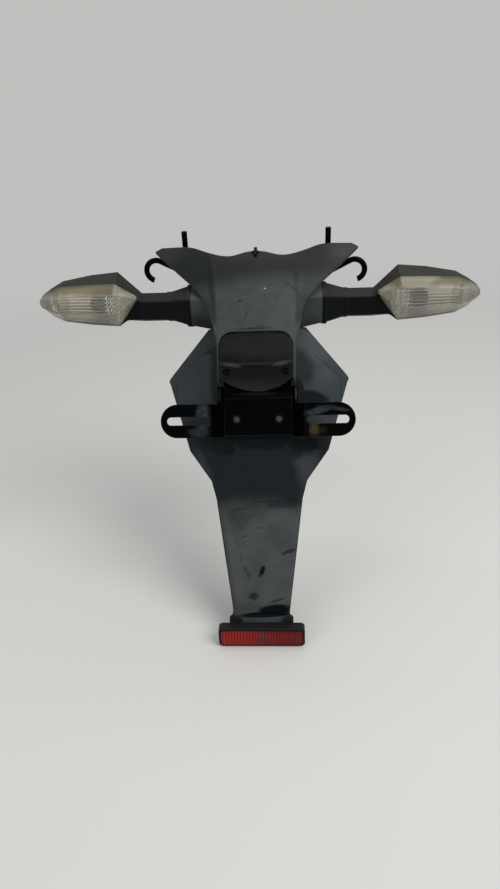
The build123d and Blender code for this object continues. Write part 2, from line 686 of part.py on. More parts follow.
def make_inner_fender():
    """Hollow beam, open underneath, with a tongue that runs down behind the flap."""
    axis = Pos(0, BEAM_AXIS_Y, BEAM_AXIS_Z)
    outline = fillet(polygon(beam_points(0)).vertices(), EDGE_ROUND)
    beam = axis * extrude(Plane.YZ * outline, BEAM_HALF_LENGTH, both=True)
    tongue_length = FLAP_TOP + BEAM_FACE_HALF - TONGUE_END
    tongue = Box(2 * TONGUE_HALF, tongue_length, BEAM_WALL, align=STANDING_OFF)
    tongue = Pos(0, TONGUE_END, -WALL) * tongue
    for x in (-TONGUE_SCREW_SPACING / 2, TONGUE_SCREW_SPACING / 2):
        tongue -= rod(SCREW_R, (x, TONGUE_SCREW_HEIGHT, -WALL), IN, BEAM_WALL)
    inner_half = BEAM_HALF_LENGTH - BEAM_WALL
    hollow = extrude(Plane.YZ * polygon(beam_points(-BEAM_WALL)), inner_half, both=True)
    lip = BEAM_LIP - BEAM_HALF_DEPTH
    back = BEAM_HALF_DEPTH - BEAM_WALL
    below = polygon([(lip, 0), (lip, -2 * BEAM_APEX), (back, -2 * BEAM_APEX), (back, 0)])
    hollow += extrude(Plane.YZ * below, inner_half, both=True)
    hollow += rod(STUD_R + FIT / 2, (-BEAM_HALF_LENGTH, 0, 0), RIGHT, 2 * BEAM_HALF_LENGTH)
    fender = beam + PLATE * tongue - axis * hollow + axis * make_gussets()
    for x in (-STAY_BOLT_SPACING / 2, STAY_BOLT_SPACING / 2):
        fender -= rod(BOLT_HOLE_R, (x, BEAM_BACK_Y, STAY_BOLT_Z), BACKWARDS, BEAM_WALL)
    for x in (-COVER_BOSS_SPACING / 2, COVER_BOSS_SPACING / 2):
        fender -= rod(SCREW_R + FIT, (x, BEAM_FRONT_Y, COVER_BOSS_Z), FORWARDS, BEAM_WALL)
    return fender


def make_flap_screws():
    start = (TONGUE_SCREW_SPACING / 2, TONGUE_SCREW_HEIGHT, 0)
    return PLATE * both_sides(screw(start, IN, SCREW_GRIP))


# Steel stay with its pins and hooks

def make_stay():
    """Bent plate: upright web bolted to the inner fender, two level ears at its top that carry the pins."""
    depth = STAY_EDGE - BEAM_BACK_Y
    flange = Pos(0, BEAM_BACK_Y, 0) * Box(STAY_LENGTH, depth, STAY_THICK, align=STANDING_OFF)
    flange = fillet(flange.edges().filter_by(Axis.Z).group_by(Axis.Y)[-1], STAY_CORNER)
    right = [
        (STAY_WEB_HALF, -STAY_HEIGHT),
        (STAY_WEB_HALF, -STAY_WEB_DROP),
        (STAY_LENGTH / 2, -STAY_EAR_DROP),
        (STAY_LENGTH / 2, 0),
    ]
    outline = polygon(right + [(-x, z) for x, z in reversed(right)])
    outline = fillet(outline.vertices().sort_by(Axis.Y)[:2], STAY_CORNER)
    web = Plane(origin=(0, BEAM_BACK_Y, 0), x_dir=RIGHT, z_dir=BACKWARDS) * extrude(outline, -STAY_THICK)
    notch = Box(2 * STAY_NOTCH_HALF, 2 * depth, STAY_NOTCH_DEPTH, align=DOWNWARDS)
    notch = fillet(notch.edges().filter_by(Axis.Y).group_by(Axis.Z)[0], STAY_CORNER)
    stay = flange + web - Pos(0, STAY_EDGE, 0) * notch
    for x in (-STAY_HOLE_SPACING / 2, STAY_HOLE_SPACING / 2):
        stay -= rod(STAY_HOLE_R, (x, 0, 0), DOWN, STAY_THICK)
    for x in (-STAY_BOLT_SPACING / 2, STAY_BOLT_SPACING / 2):
        stay -= rod(BOLT_HOLE_R, (x, BEAM_BACK_Y, STAY_BOLT_Z), FORWARDS, STAY_THICK)
    return stay


def make_stay_bolts():
    length = STAY_THICK + BEAM_WALL + NUT_HEIGHT + BOLT_END
    return both_sides(bolt((STAY_BOLT_SPACING / 2, BEAM_BACK_Y + STAY_THICK, STAY_BOLT_Z), BACKWARDS, length))


def make_stay_nuts():
    return both_sides(nut((STAY_BOLT_SPACING / 2, BEAM_BACK_Y - BEAM_WALL, STAY_BOLT_Z), BACKWARDS))


def make_pin():
    pin = rod(ROD_R, (PIN_SPACING / 2, 0, 0), UP, PIN_LENGTH)
    return chamfer(pin.faces().sort_by(Axis.Z)[-1].edges(), PIN_CHAMFER)


def make_hook(reach, drop):
    """Bent rod on the stay's web: a straight run that rises past its side, then a half turn back under."""
    rise = radians(HOOK_RISE_ANGLE)
    y = BEAM_BACK_Y + STAY_THICK + ROD_R
    top = (reach - HOOK_RADIUS * sin(rise), HOOK_RADIUS * cos(rise) - drop)
    foot = (STAY_WEB_HALF, top[1] - (top[0] - STAY_WEB_HALF) * tan(rise))
    plane = Plane(origin=(0, y, 0), x_dir=(1, 0, 0), z_dir=(0, -1, 0))
    run = Line(foot, top)
    bend = JernArc(top, (cos(rise), sin(rise)), HOOK_RADIUS, -HOOK_TURN)
    path = plane * Wire([run, bend])
    section = Plane(origin=path @ 0, z_dir=path % 0) * Circle(ROD_R)
    return sweep(section, path)


# Indicators, made on the right side about the stalk's axis

def lens_points(bulge, bottom, low, high, top):
    """Lens section, anticlockwise: upper bevel, front face, lower bevel, open back."""
    return [(LENS_PLANE, top), (LENS_PLANE - bulge, high), (LENS_PLANE - bulge, low), (LENS_PLANE, bottom)]


def housing_points(bottom, top, depth, rise):
    """Housing section, anticlockwise from the lower front edge, closed by the plane that the lens sits on."""
    height = top - bottom
    return [
        (LENS_PLANE, bottom),
        (LENS_PLANE + ROOF_AT * depth, bottom),
        (LENS_PLANE + BACK_AT * depth, bottom + BACK_BOTTOM_AT * height),
        (LENS_PLANE + depth, bottom + BACK_TOP_AT * height),
        (LENS_PLANE + ROOF_AT * depth, top + rise),
        (LENS_PLANE, top),
    ]


def lens_stations():
    """Places and sections of the lens, from its inner point to its outer tip."""
    low = LENS_POINT_HEIGHT - LENS_POINT_HALF
    high = LENS_POINT_HEIGHT + LENS_POINT_HALF
    point = lens_points(LENS_POINT_BULGE, low, low + LENS_POINT_HALF / 2, high - LENS_POINT_HALF / 2, high)
    rows = [(x, lens_points(*row)) for x, *row in (station[:6] for station in INDICATOR_STATIONS)]
    return [(LENS_POINT, point)] + rows


def housing_stations():
    """Places and sections of the housing: neck, throat with a level lower front edge, body, outer tip."""
    neck = hexagon_points(STALK_HALF_DEPTH, STALK_FACE_HALF, STALK_APEX)
    rows = [(x, housing_points(bottom, top, depth, rise))
            for x, _, bottom, _, _, top, depth, rise in INDICATOR_STATIONS]
    body_start, body = rows[0]
    throat = between(neck, body, (NECK_LEVEL_END - STALK_END) / (body_start - STALK_END))
    throat[0] = neck[0]
    return [(STALK_END, neck), (NECK_LEVEL_END, throat)] + rows


def outline_at(stations, x):
    """Section at any place between the first and last station."""
    for (x0, first), (x1, second) in zip(stations, stations[1:]):
        if x0 <= x <= x1:
            return between(first, second, (x - x0) / (x1 - x0))


def hollow_between(stations, start, end, walls):
    """Inside of a shell from start to end, with each side moved in by its wall."""
    places = [start] + [x for x, _ in stations if start < x < end] + [end]
    return loft([across(inset(outline_at(stations, x), walls), x) for x in places], ruled=True)


def make_indicator_lens():
    sections = []
    for x, points in lens_stations():
        face = polygon(points)
        rounding = min(LENS_ROUND, LENS_ROUND_SHARE * (points[1][1] - points[2][1]))
        face = fillet(face.vertices().sort_by(Axis.X)[:2], rounding)
        sections.append(Plane.YZ.offset(x) * face)
    lens = loft(sections, ruled=True)
    walls = [LENS_WALL, LENS_WALL, LENS_WALL, -LENS_WALL]
    lens -= hollow_between(lens_stations(), LENS_CAVITY_START, SOLID_TIP, walls)
    return lens - rod(LENS_SCREW_R, LENS_SCREW_FOOT, BACKWARDS, LENS_SCREW_GRIP)


def lens_outline():
    """Lens edge on the plane where it meets the housing, seen from behind, anticlockwise."""
    stations = lens_stations()
    lower = [(x, points[3][1]) for x, points in stations]
    upper = [(x, points[0][1]) for x, points in reversed(stations)]
    return lower + upper


def make_indicator_housing():
    """Shell with a window under the lens, a seat for the lens screw and a hole for the stud."""
    sections = []
    for x, points in housing_stations():
        face = polygon(points)
        rounding = min(EDGE_ROUND, HOUSING_ROUND_SHARE * (points[5][1] - points[0][1]))
        face = fillet(face.vertices().sort_by(Axis.X)[2:], rounding)
        sections.append(Plane.YZ.offset(x) * face)
    housing = loft(sections, ruled=True)
    housing -= hollow_between(housing_stations(), CAVITY_START, SOLID_TIP, [HOUSING_WALL] * 6)
    window = inset(lens_outline(), [WINDOW_RIM] * len(lens_outline()))
    window_plane = Plane(origin=(0, LENS_PLANE, 0), x_dir=(1, 0, 0), z_dir=(0, -1, 0))
    housing -= window_plane * extrude(polygon(window), -HOUSING_WALL)
    housing -= rod(STUD_R + FIT / 2, (STALK_END, 0, 0), RIGHT, CAVITY_START - STALK_END)
    seat = (LENS_SCREW_FOOT[0], LENS_PLANE + LENS_SCREW_SEAT, LENS_SCREW_FOOT[2])
    housing -= rod(LENS_SCREW_HEAD_R + FIT, seat, FORWARDS, STALK_APEX)
    return housing - rod(LENS_SCREW_R + FIT / 2, LENS_SCREW_FOOT, FORWARDS, LENS_SCREW_SEAT)


def make_lens_screw():
    seat = (LENS_SCREW_FOOT[0], LENS_PLANE + LENS_SCREW_SEAT, LENS_SCREW_FOOT[2])
    shank = rod(LENS_SCREW_R, seat, BACKWARDS, LENS_SCREW_SEAT + LENS_SCREW_GRIP)
    return shank + rod(LENS_SCREW_HEAD_R, seat, FORWARDS, SCREW_HEAD)


def make_liner():
    """Bright liner inside the housing, open towards the lens, with a hole for the bulb."""
    outer = HOUSING_WALL + FIT
    walls = [outer + LINER_WALL] * 5 + [HOUSING_WALL]
    stations = housing_stations()
    end = SOLID_TIP - FIT
    liner = hollow_between(stations, LINER_START, end, [outer] * 6)
    liner -= hollow_between(stations, LINER_START + LINER_WALL, end - LINER_WALL, walls)
    return liner - rod(BULB_R + FIT, (LINER_START, BULB_Y, BULB_Z), RIGHT, LINER_WALL)


def make_bulb_holder():
    start = (CAVITY_START + STUD_HEAD_THICK, BULB_Y, BULB_Z)
    holder = rod(HOLDER_R, start, RIGHT, HOLDER_LENGTH)
    return chamfer(holder.faces().sort_by(Axis.X)[-1].edges(), LINER_WALL)


def make_bulb():
    bulb = rod(BULB_R, (BULB_START, BULB_Y, BULB_Z), RIGHT, BULB_LENGTH)
    return fillet(bulb.faces().sort_by(Axis.X)[-1].edges(), BULB_R - FIT)


def stalk_section(x, inset_by, half_depth, face_half, apex):
    """Rounded six-sided section of the rubber stalk."""
    points = inset(hexagon_points(half_depth, face_half, apex), [inset_by] * 6)
    return across(points, x, EDGE_ROUND)


def make_stalk():
    """Rubber base: proud collar on the beam's end, taper, and a slimmer stem after a small step."""
    beam = (BEAM_HALF_DEPTH, BEAM_FACE_HALF, BEAM_APEX)
    stem = (STALK_HALF_DEPTH, STALK_FACE_HALF, STALK_APEX)
    collar = loft([
        stalk_section(BEAM_HALF_LENGTH, -COLLAR_PROUD, *beam),
        stalk_section(COLLAR_END, -COLLAR_PROUD, *beam),
    ], ruled=True)
    taper = loft([
        stalk_section(COLLAR_END, TAPER_INSET, *beam),
        stalk_section(TAPER_END, -STALK_STEP, *stem),
        stalk_section(RUBBER_STEP, -STALK_STEP, *stem),
    ], ruled=True)
    neck = loft([stalk_section(RUBBER_STEP, 0, *stem), stalk_section(STALK_END, 0, *stem)], ruled=True)
    bore = rod(STUD_R + FIT / 2, (BEAM_HALF_LENGTH, 0, 0), RIGHT, STALK_END - BEAM_HALF_LENGTH)
    return collar + taper + neck - bore


def make_stalk_stud():
    """Hollow stud that clamps the indicator and its rubber base to the beam's end wall."""
    start = BEAM_HALF_LENGTH - BEAM_WALL - STUD_NUT_HEIGHT - BOLT_END
    stud = rod(STUD_R, (start, 0, 0), RIGHT, CAVITY_START - start)
    stud += rod(STUD_HEAD_R, (CAVITY_START, 0, 0), RIGHT, STUD_HEAD_THICK)
    return stud - rod(STUD_BORE_R, (start, 0, 0), RIGHT, CAVITY_START + STUD_HEAD_THICK - start)


def make_stalk_nut():
    start = (BEAM_HALF_LENGTH - BEAM_WALL - STUD_NUT_HEIGHT, 0, 0)
    return ring_nut(STUD_NUT_FLATS, STUD_R, start, RIGHT, STUD_NUT_HEIGHT)


# Rear reflector

def make_reflector_housing():
    """Level black tray with rounded corners and a pocket for the red lens."""
    plane = Plane(origin=(0, PAD_FACE_Y, REFLECTOR_STUD_Z), x_dir=(1, 0, 0), z_dir=(0, -1, 0))
    tray = extrude(RectangleRounded(REFLECTOR_WIDTH, REFLECTOR_HEIGHT, REFLECTOR_CORNER), REFLECTOR_DEPTH)
    tray = chamfer(tray.faces().sort_by(Axis.Z)[-1].edges(), REFLECTOR_RIM / 3)
    pocket = extrude(reflector_lens_face(FIT), REFLECTOR_POCKET)
    tray -= Pos(0, 0, REFLECTOR_DEPTH - REFLECTOR_POCKET) * pocket
    tray -= rod(REFLECTOR_STUD_R, (0, 0, 0), OUT, REFLECTOR_STUD_SUNK)
    return plane * tray


def reflector_lens_face(grow):
    """Outline of the red lens inside the tray's rim."""
    trim = 2 * (REFLECTOR_RIM + FIT - grow)
    return RectangleRounded(
        REFLECTOR_WIDTH - trim, REFLECTOR_HEIGHT - trim, REFLECTOR_CORNER - REFLECTOR_RIM + grow)


def make_reflector_lens():
    plane = Plane(origin=(0, PAD_FACE_Y, REFLECTOR_STUD_Z), x_dir=(1, 0, 0), z_dir=(0, -1, 0))
    lens = extrude(reflector_lens_face(0), REFLECTOR_POCKET + REFLECTOR_LENS_PROUD)
    lens = chamfer(lens.faces().sort_by(Axis.Z)[-1].edges(), REFLECTOR_LENS_PROUD / 2)
    return plane * Pos(0, 0, REFLECTOR_DEPTH - REFLECTOR_POCKET) * lens


def make_reflector_stud():
    start = (0, PAD_FACE_Y - REFLECTOR_STUD_SUNK, REFLECTOR_STUD_Z)
    length = REFLECTOR_STUD_SUNK + WALL + REFLECTOR_NUT_HEIGHT + BOLT_END
    return rod(REFLECTOR_STUD_R, start, FORWARDS, length)


def make_reflector_nut():
    start = (0, PAD_FACE_Y + WALL, REFLECTOR_STUD_Z)
    return ring_nut(REFLECTOR_NUT_FLATS, REFLECTOR_STUD_R, start, FORWARDS, REFLECTOR_NUT_HEIGHT)


cover = make_cover()
pieces = {
    "upper_cover": cover,
    "cover_screws": make_cover_screws(),
    "edge_clip": make_edge_clip(cover),
    "inner_fender": make_inner_fender(),
    "mud_flap": make_mud_flap(),
    "flap_screws": make_flap_screws(),
    "plate_bracket": make_plate_bracket(),
    "bracket_bolts": make_bracket_bolts(),
    "bracket_nuts": make_bracket_nuts(),
    "lamp_base": make_lamp_base(),
    "lamp_housing": make_lamp_housing(),
    "lamp_lens": make_lamp_lens(),
    "lamp_socket": make_lamp_socket(),
    "lamp_bulb": make_lamp_bulb(),
    "lamp_screws": make_lamp_screws(),
    "stay": make_stay(),
    "stay_bolts": make_stay_bolts(),
    "stay_nuts": make_stay_nuts(),
    "reflector_housing": make_reflector_housing(),
    "reflector_lens": make_reflector_lens(),
    "reflector_stud": make_reflector_stud(),
    "reflector_nut": make_reflector_nut(),
}
pieces["tie_hook_right"] = make_hook(HOOK_REACH_RIGHT, HOOK_DROP_RIGHT)
pieces["tie_hook_left"] = mirror(make_hook(HOOK_REACH_LEFT, HOOK_DROP_LEFT), about=Plane.YZ)

right_hand = {"locating_pin": make_pin()}
indicator = {
    "indicator_lens": make_indicator_lens(),
    "indicator_housing": make_indicator_housing(),
    "indicator_liner": make_liner(),
    "indicator_bulb": make_bulb(),
    "bulb_holder": make_bulb_holder(),
    "lens_screw": make_lens_screw(),
    "rubber_stalk": make_stalk(),
    "stalk_stud": make_stalk_stud(),
    "stalk_nut": make_stalk_nut(),
}
for name, piece in indicator.items():
    right_hand[name] = Pos(0, BEAM_AXIS_Y, BEAM_AXIS_Z) * piece
for name, piece in right_hand.items():
    pieces[f"{name}_right"] = piece
    pieces[f"{name}_left"] = mirror(piece, about=Plane.YZ)

os.makedirs("parts", exist_ok=True)
for name, piece in pieces.items():
    export_step(piece, f"parts/{name}.step")
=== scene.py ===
"""Finishes of a motorbike tail tidy and the stage it is shown on, laid out as a Blender add-on."""
from math import cos, pi, radians, sin

import bpy
from mathutils import Matrix, Vector


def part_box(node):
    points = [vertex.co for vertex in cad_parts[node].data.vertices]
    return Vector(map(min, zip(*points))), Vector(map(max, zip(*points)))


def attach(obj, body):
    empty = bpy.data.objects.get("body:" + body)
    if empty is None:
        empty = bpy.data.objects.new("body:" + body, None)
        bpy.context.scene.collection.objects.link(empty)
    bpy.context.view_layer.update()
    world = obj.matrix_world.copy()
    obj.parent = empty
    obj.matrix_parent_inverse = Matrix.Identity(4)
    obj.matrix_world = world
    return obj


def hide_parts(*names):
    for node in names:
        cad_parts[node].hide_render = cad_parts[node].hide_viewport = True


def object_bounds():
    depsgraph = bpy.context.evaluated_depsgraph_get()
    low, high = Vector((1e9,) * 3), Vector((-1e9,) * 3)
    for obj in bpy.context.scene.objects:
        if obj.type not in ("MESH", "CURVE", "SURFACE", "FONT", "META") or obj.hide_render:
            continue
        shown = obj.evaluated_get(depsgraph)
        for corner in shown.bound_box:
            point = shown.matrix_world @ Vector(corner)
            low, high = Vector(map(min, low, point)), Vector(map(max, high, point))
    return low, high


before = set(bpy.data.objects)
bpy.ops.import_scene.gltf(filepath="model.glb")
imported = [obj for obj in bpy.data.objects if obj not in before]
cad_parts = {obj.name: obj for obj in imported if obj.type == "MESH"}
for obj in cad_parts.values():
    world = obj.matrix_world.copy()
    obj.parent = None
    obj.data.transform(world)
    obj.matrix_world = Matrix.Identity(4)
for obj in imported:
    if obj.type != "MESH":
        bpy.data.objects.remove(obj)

bl_info = {
    "name": "Tail tidy",
    "version": (1, 0, 0),
    "blender": (4, 5, 0),
    "location": "View3D > Sidebar > Tail tidy",
    "description": "Finishes and fine detail of a motorbike tail tidy",
    "category": "Object",
}

CAD_BOX = [list(corner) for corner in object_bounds()]
MM = 0.001
SIDES = {"right": 1, "left": -1}

# Plane of the number plate, in millimetres: its middle, and its turn about X from level
PLATE_MIDDLE = (0, -104, -146.5)
PLATE_TURN = (radians(60), 0, 0)
PLATE_OUT = (0, -sin(PLATE_TURN[0]), cos(PLATE_TURN[0]))

# Sections of the indicator lens from the plane behind it: place across, front face, bottom and creases
LENS_PLANE_Y = -44.0
LENS_NECK = {"x": 137.0, "front": -54.7, "bottom": -47.8, "low": -37.5, "high": -25.4}
LENS_BODY = {"x": 147.0, "front": -61.0, "bottom": -61.1, "low": -42.5, "high": -21.7}
LENS_TIP = {"x": 205.0, "front": -58.0, "bottom": -54.3, "low": -40.7, "high": -24.3}

# Optics inside the lens: flutes along its outer part, set behind its face, and domes at its inner end
FRONT_FLUTES = 6
BEVEL_FLUTES = 7
BEVEL_SHARE = (0.18, 0.75)
FLUTES_START = 157.0
FLUTE_DEPTH = 1.8
FLUTE_FULLNESS = 1.02
FLUTE_FLATNESS = 0.36
FLUTE_SIDES = 20
PILLOW_ROWS = 5
PILLOW_COLUMNS = 5
PILLOW_PITCH = 4.0
PILLOW_RISE = 1.4
PILLOW_FULLNESS = 1.1
PILLOWS_START = 139.0
PILLOW_DIVISIONS = 2

# Ribs of the reflector: steps across one rib, how deep their sheet is sunk in the lens, and its thickness
RIB_STEPS = 4
RIB_SUNK = 0.1
RIB_BACK = 0.6

# Heads of the lamp's screws in the plate's plane, and of the lens screws
LAMP_SCREW = (28.5, 46.0, 47.17)
LENS_SCREW = (218.5, -33.8, -35.2)

# Camera, from the view of the part that the photograph gives: place in millimetres, directions, lens,
# and the nearest that it sees, in metres
CAMERA_PLACE = (27.635, -721.737, 181.63)
CAMERA_RIGHT = (0.998532, 0.038339, -0.038257)
CAMERA_UP = (0.013943, 0.500584, 0.865576)
CAMERA_BACK = (0.052336, -0.864839, 0.499315)
CAMERA_LENS = 27.05
CAMERA_NEAREST = 0.01

# Area lights, in metres and watts: name, place, size and power; their aim, and the floor's gap below the part
LIGHTS = (
    ("key_light", (1.0, -0.8, 1.2), 1.0, 19.0),
    ("fill_light", (-1.0, -1.1, 0.5), 1.0, 5.0),
    ("top_light", (0.1, 0.5, 1.4), 1.0, 6.0),
)
LIGHTS_AIM = (0, -0.1, -0.15)
FLOOR_GAP = 0.5 * MM

# Corners of a node's triangles that are this near become one; edges under these degrees are shaded smooth
MERGE_DISTANCE = 0.002 * MM
SCREW_SMOOTH = 35
LENS_SMOOTH = 30
RIB_SMOOTH = 60

# Marks, painted shade and painted highlights in the plate's plane: middle across and up, half sizes, turn in
# degrees, strength
COVER_MARKS_AND_SHADE = (
    # Painted shadow along the line above the lamp's roof
    (1, 89.6, 15, 1.0, 1, 0.75),
    (5, 92.2, 5, 0.8, 0, 0.5),
    # Dark spots and streaks
    (-15.1, 118.2, 2.2, 1.6, 10, 0.6),
    (9.8, 114.3, 1.4, 1.2, 0, 0.4),
    (-9, 103, 1.4, 4.5, -12, 0.35),
    (39, 130.0, 8.5, 0.8, -47, 0.6),
    (34.5, 134.5, 4.0, 0.7, -20, 0.4),
    # Painted shade over the top of the middle
    (2, 157, 36, 8, 0, 0.5),
    # Painted shade in the creases beside the middle
    (-45, 138, 30, 3.2, 98, 0.5),
    (41, 142, 24, 2.4, 91, 0.4),
)
COVER_SPECKS = (
    (9.5, 130.9, 0.9, 0.7, 0, 0.4),
    (11.6, 130.4, 0.6, 0.5, 0, 0.1),
)
COVER_TIPS = (
    (-95, 178, 18, 9, 0, 0.14),
    (96, 178, 18, 9, 0, 0.2),
)
FENDER_SHADE = (
    # Painted shade low on the fender's end blocks, beside the cover
    (-57, 100, 15, 10, -15, 0.95),
    (56, 100, 11, 6, 15, 0.6),
)
SHADE_AND_DAMP_PATCHES = (
    # Painted shade beside the lamp
    (-42, 44, 8, 32, 0, 0.7),
    # A dark streak
    (-46, 76, 16, 2.2, 18, 0.6),
    # Painted shade under the bracket
    (-38, -26, 15, 9, -10, 0.85),
    (47, -27, 15, 10, 10, 0.9),
    (0, -21, 44, 9, 0, 0.9),
)
TAIL_STAINS = (
    (1.5, -159.5, 2.4, 6.2, -22, 1.0),
    (-8, -187, 4.8, 4.4, 0, 0.7),
    (-28.5, -212, 8, 6.5, 0, 0.8),
    (29.5, -212, 8, 6.5, 0, 0.8),
    (17, -192, 9, 1.2, 18, 0.6),
    (31, -138, 6, 2.0, 12, 0.7),
    (25, -140.5, 2.4, 1.8, 0, 0.7),
    (-22, -102, 12, 12, 0, 0.3),
    (-19, -92.5, 8, 0.8, 0, 0.5),
    (-16, -158, 2.6, 4.0, 20, 0.35),
    (-13, -164, 2.2, 4.0, 10, 0.35),
    (-20, -145, 1.6, 4.0, 0, 0.25),
    (-15.5, -122.0, 4.5, 0.7, 24, 0.45),
    (0.5, -112.4, 5.0, 0.6, -8, 0.35),
    (-24, -130.0, 5.5, 0.6, -35, 0.3),
)
SHADE_AND_SMEARS = (
    # Painted shadow on the right wing beside the bracket
    (40, 54, 19, 21, 0, 0.55),
    (39, 30, 10, 18, 0, 0.9),
    (55, 22, 19, 9.5, -6, 0.95),
    # Painted shade along the rims of both wings
    (73.8, 58, 20, 1.0, -39, 0.3),
    (88, 32.6, 13, 1.0, 85, 0.3),
    (-73.8, 58, 20, 1.0, 39, 0.2),
    (-88, 32.6, 13, 1.0, -85, 0.3),
    # Painted shade across the top of the tail, along its bend
    (28, -87, 20, 5.0, 5, 0.4),
    (20, -84, 26, 1.0, 3, 0.4),
    # Across the tail near the reflector
    (4, -206, 28, 2.6, 2, 1.0),
    (15, -202, 18, 5.5, 5, 1.0),
    # Painted shade along the edges of the tail
    (-39, -143, 64, 2.6, -83, 0.7),
    (39, -143, 64, 1.9, 83, 0.55),
)
DRY_PATCHES = (
    (62, 80, 18, 24, 25, 0.55),
    (68, 48, 12, 16, 0, 0.3),
    (52, -48, 12, 24, 10, 0.3),
    (67, -1, 17, 6, 0, 0.5),
    (-60, -45, 22, 5, -65, 0.2),
)
SCRATCHES = (
    (-15.0, -124.0, 4.5, 0.6, 20, 0.2),
    (0.0, -116.0, 4.0, 0.7, -4, 0.2),
)
DUST_AND_HIGHLIGHTS_ON_BRACKET = (
    # Dust on the left ear
    (-56, 4, 6, 15, 0, 0.4),
    (-61, -12, 9, 5, 0, 0.25),
    # Pale strips along the top of the right ear
    (62, 9, 13, 3.2, 16, 0.4),
    (79, 11, 15, 1.8, -9, 0.3),
    # Painted reflection along the bracket's lip
    (0, 28, 22, 1.8, 0, 0.25),
    # Painted highlights down both struts
    (-40, 27, 2.0, 7, 0, 0.3),
    (39.8, 28, 1.0, 8, 0, 0.9),
)
RUST_ON_EARS = (
    (57.5, -10, 4.6, 6.5, 0, 0.4),
    (64, -11, 6, 4, 0, 0.08),
)
LAMP_GLINTS = (
    # Painted highlights along the lamp's ridge
    (-24, 53.2, 8, 1.7, -8, 0.6),
    (25, 54.0, 8, 1.8, 8, 0.6),
    (0, 54.0, 28, 1.0, 0, 0.25),
)

# Marks are full on faces with this cosine to the plate's way out, and a large scale takes out their depth
OUTER_FACING = 0.2
FLATTENING = 1000.0

# Cosine between the softened and the plain normal where an edge starts to show and where it shows in full
EDGE_TURN = {"From Min": 0.995, "From Max": 0.9}

# Fades up the plate's plane, in millimetres: where each starts and where it is full
# The cover's fade: dark at its top edge as painted shade, paler low down as painted light over real sun
# fading
COVER_FADE = {"From Min": 163.0, "From Max": 138.0}
# The flap's: its painted shade below the bracket ends up the wings, and its painted reflection fills the bent
# tail
WING_FADE = {"From Min": -25.0, "From Max": 30.0}
TAIL_FADE = {"From Min": -66.0, "From Max": -98.0}
LAMP_ROOF_FADE = {"From Min": 62.0, "From Max": 74.0}
LAMP_LIP_FADE = {"From Min": 50.0, "From Max": 38.0}

# Fades across the reflector for its painted highlight, towards the middle of its smear, and over the floor
REFLECTOR_FADE = {"From Min": 40.0, "From Max": -14.0}
SMEAR_FADE = {"From Min": 7.0, "From Max": 1.0}
SMEAR_MIDDLE = 2.0
FLOOR_FADE = {"From Min": 500.0, "From Max": 1500.0}

# How far clouds shift those fades, in millimetres, and the share of the way across that tilts the cover's
# fade towards painted light on its right
COVER_DRIFT = 20.0
COVER_LIGHT_TILT = -0.08
FLAP_DRIFT = 16.0
LAMP_DRIFT = 14.0
REFLECTOR_DRIFT = 30.0

# Fades of the lens: up its yellowed rim, and across its hazed inner and outer ends
RIM_FADE = {"From Min": LENS_TIP["high"], "From Max": LENS_BODY["high"] + 1}
INNER_HAZE = {"From Min": FLUTES_START, "From Max": LENS_NECK["x"]}
OUTER_HAZE = {"From Min": LENS_TIP["x"] - 3, "From Max": LENS_TIP["x"] + 12}

# Widths of clouds, flecks and streaks in the materials, in millimetres
COVER_CLOUD = 40
COVER_BLOTCH = 9
FLAP_CLOUD = 30
PLASTIC_CLOUD = 18
ENAMEL_FLECK = 4
LAMP_CLOUD = 14
ZINC_CLOUD = 2
BLACKENED_CLOUD = 3
ACRYLIC_WEAR = 5
LENS_WEAR = 4
GLASS_STREAK = 6
SILVER_BLOOM = 9
REFLECTOR_CLOUD = 6

# Shares along edges: of dust on the cover, of painted shade on the flap, of painted highlight on the enamel
# and of scuffs on the lamp; and the flap's roughness in its slick dark patches
COVER_EDGES = 0.3
FLAP_EDGES = 0.5
ENAMEL_EDGES = 0.25
LAMP_EDGES = 0.25
DAMP_ROUGHNESS = 0.45

# Weathered plastic: how far clouds break up its dust, where dust starts and is full, its share along edges,
# and how far clouds change the roughness
DUST_CLOUD = 0.8
DUST_LEVEL = {"From Min": 0.6, "From Max": 1.4}
DUST_EDGES = 0.5
ROUGHNESS_CLOUD = 0.1


def linear(hex_colour):
    """Linear colour, with full opacity, of an sRGB hex value."""
    shares = [int(hex_colour[i:i + 2], 16) / 255 for i in (1, 3, 5)]
    return (*(s / 12.92 if s <= 0.04045 else ((s + 0.055) / 1.055) ** 2.4 for s in shares), 1.0)


def colour(name, description, hex_colour):
    """Colour that a user can change."""
    return bpy.props.FloatVectorProperty(
        name=name, description=description, default=linear(hex_colour), size=4, min=0, max=1, subtype="COLOR")


def length(name, description, millimetres):
    """Length that a user can change."""
    return bpy.props.FloatProperty(
        name=name, description=description, default=millimetres * MM, unit="LENGTH")


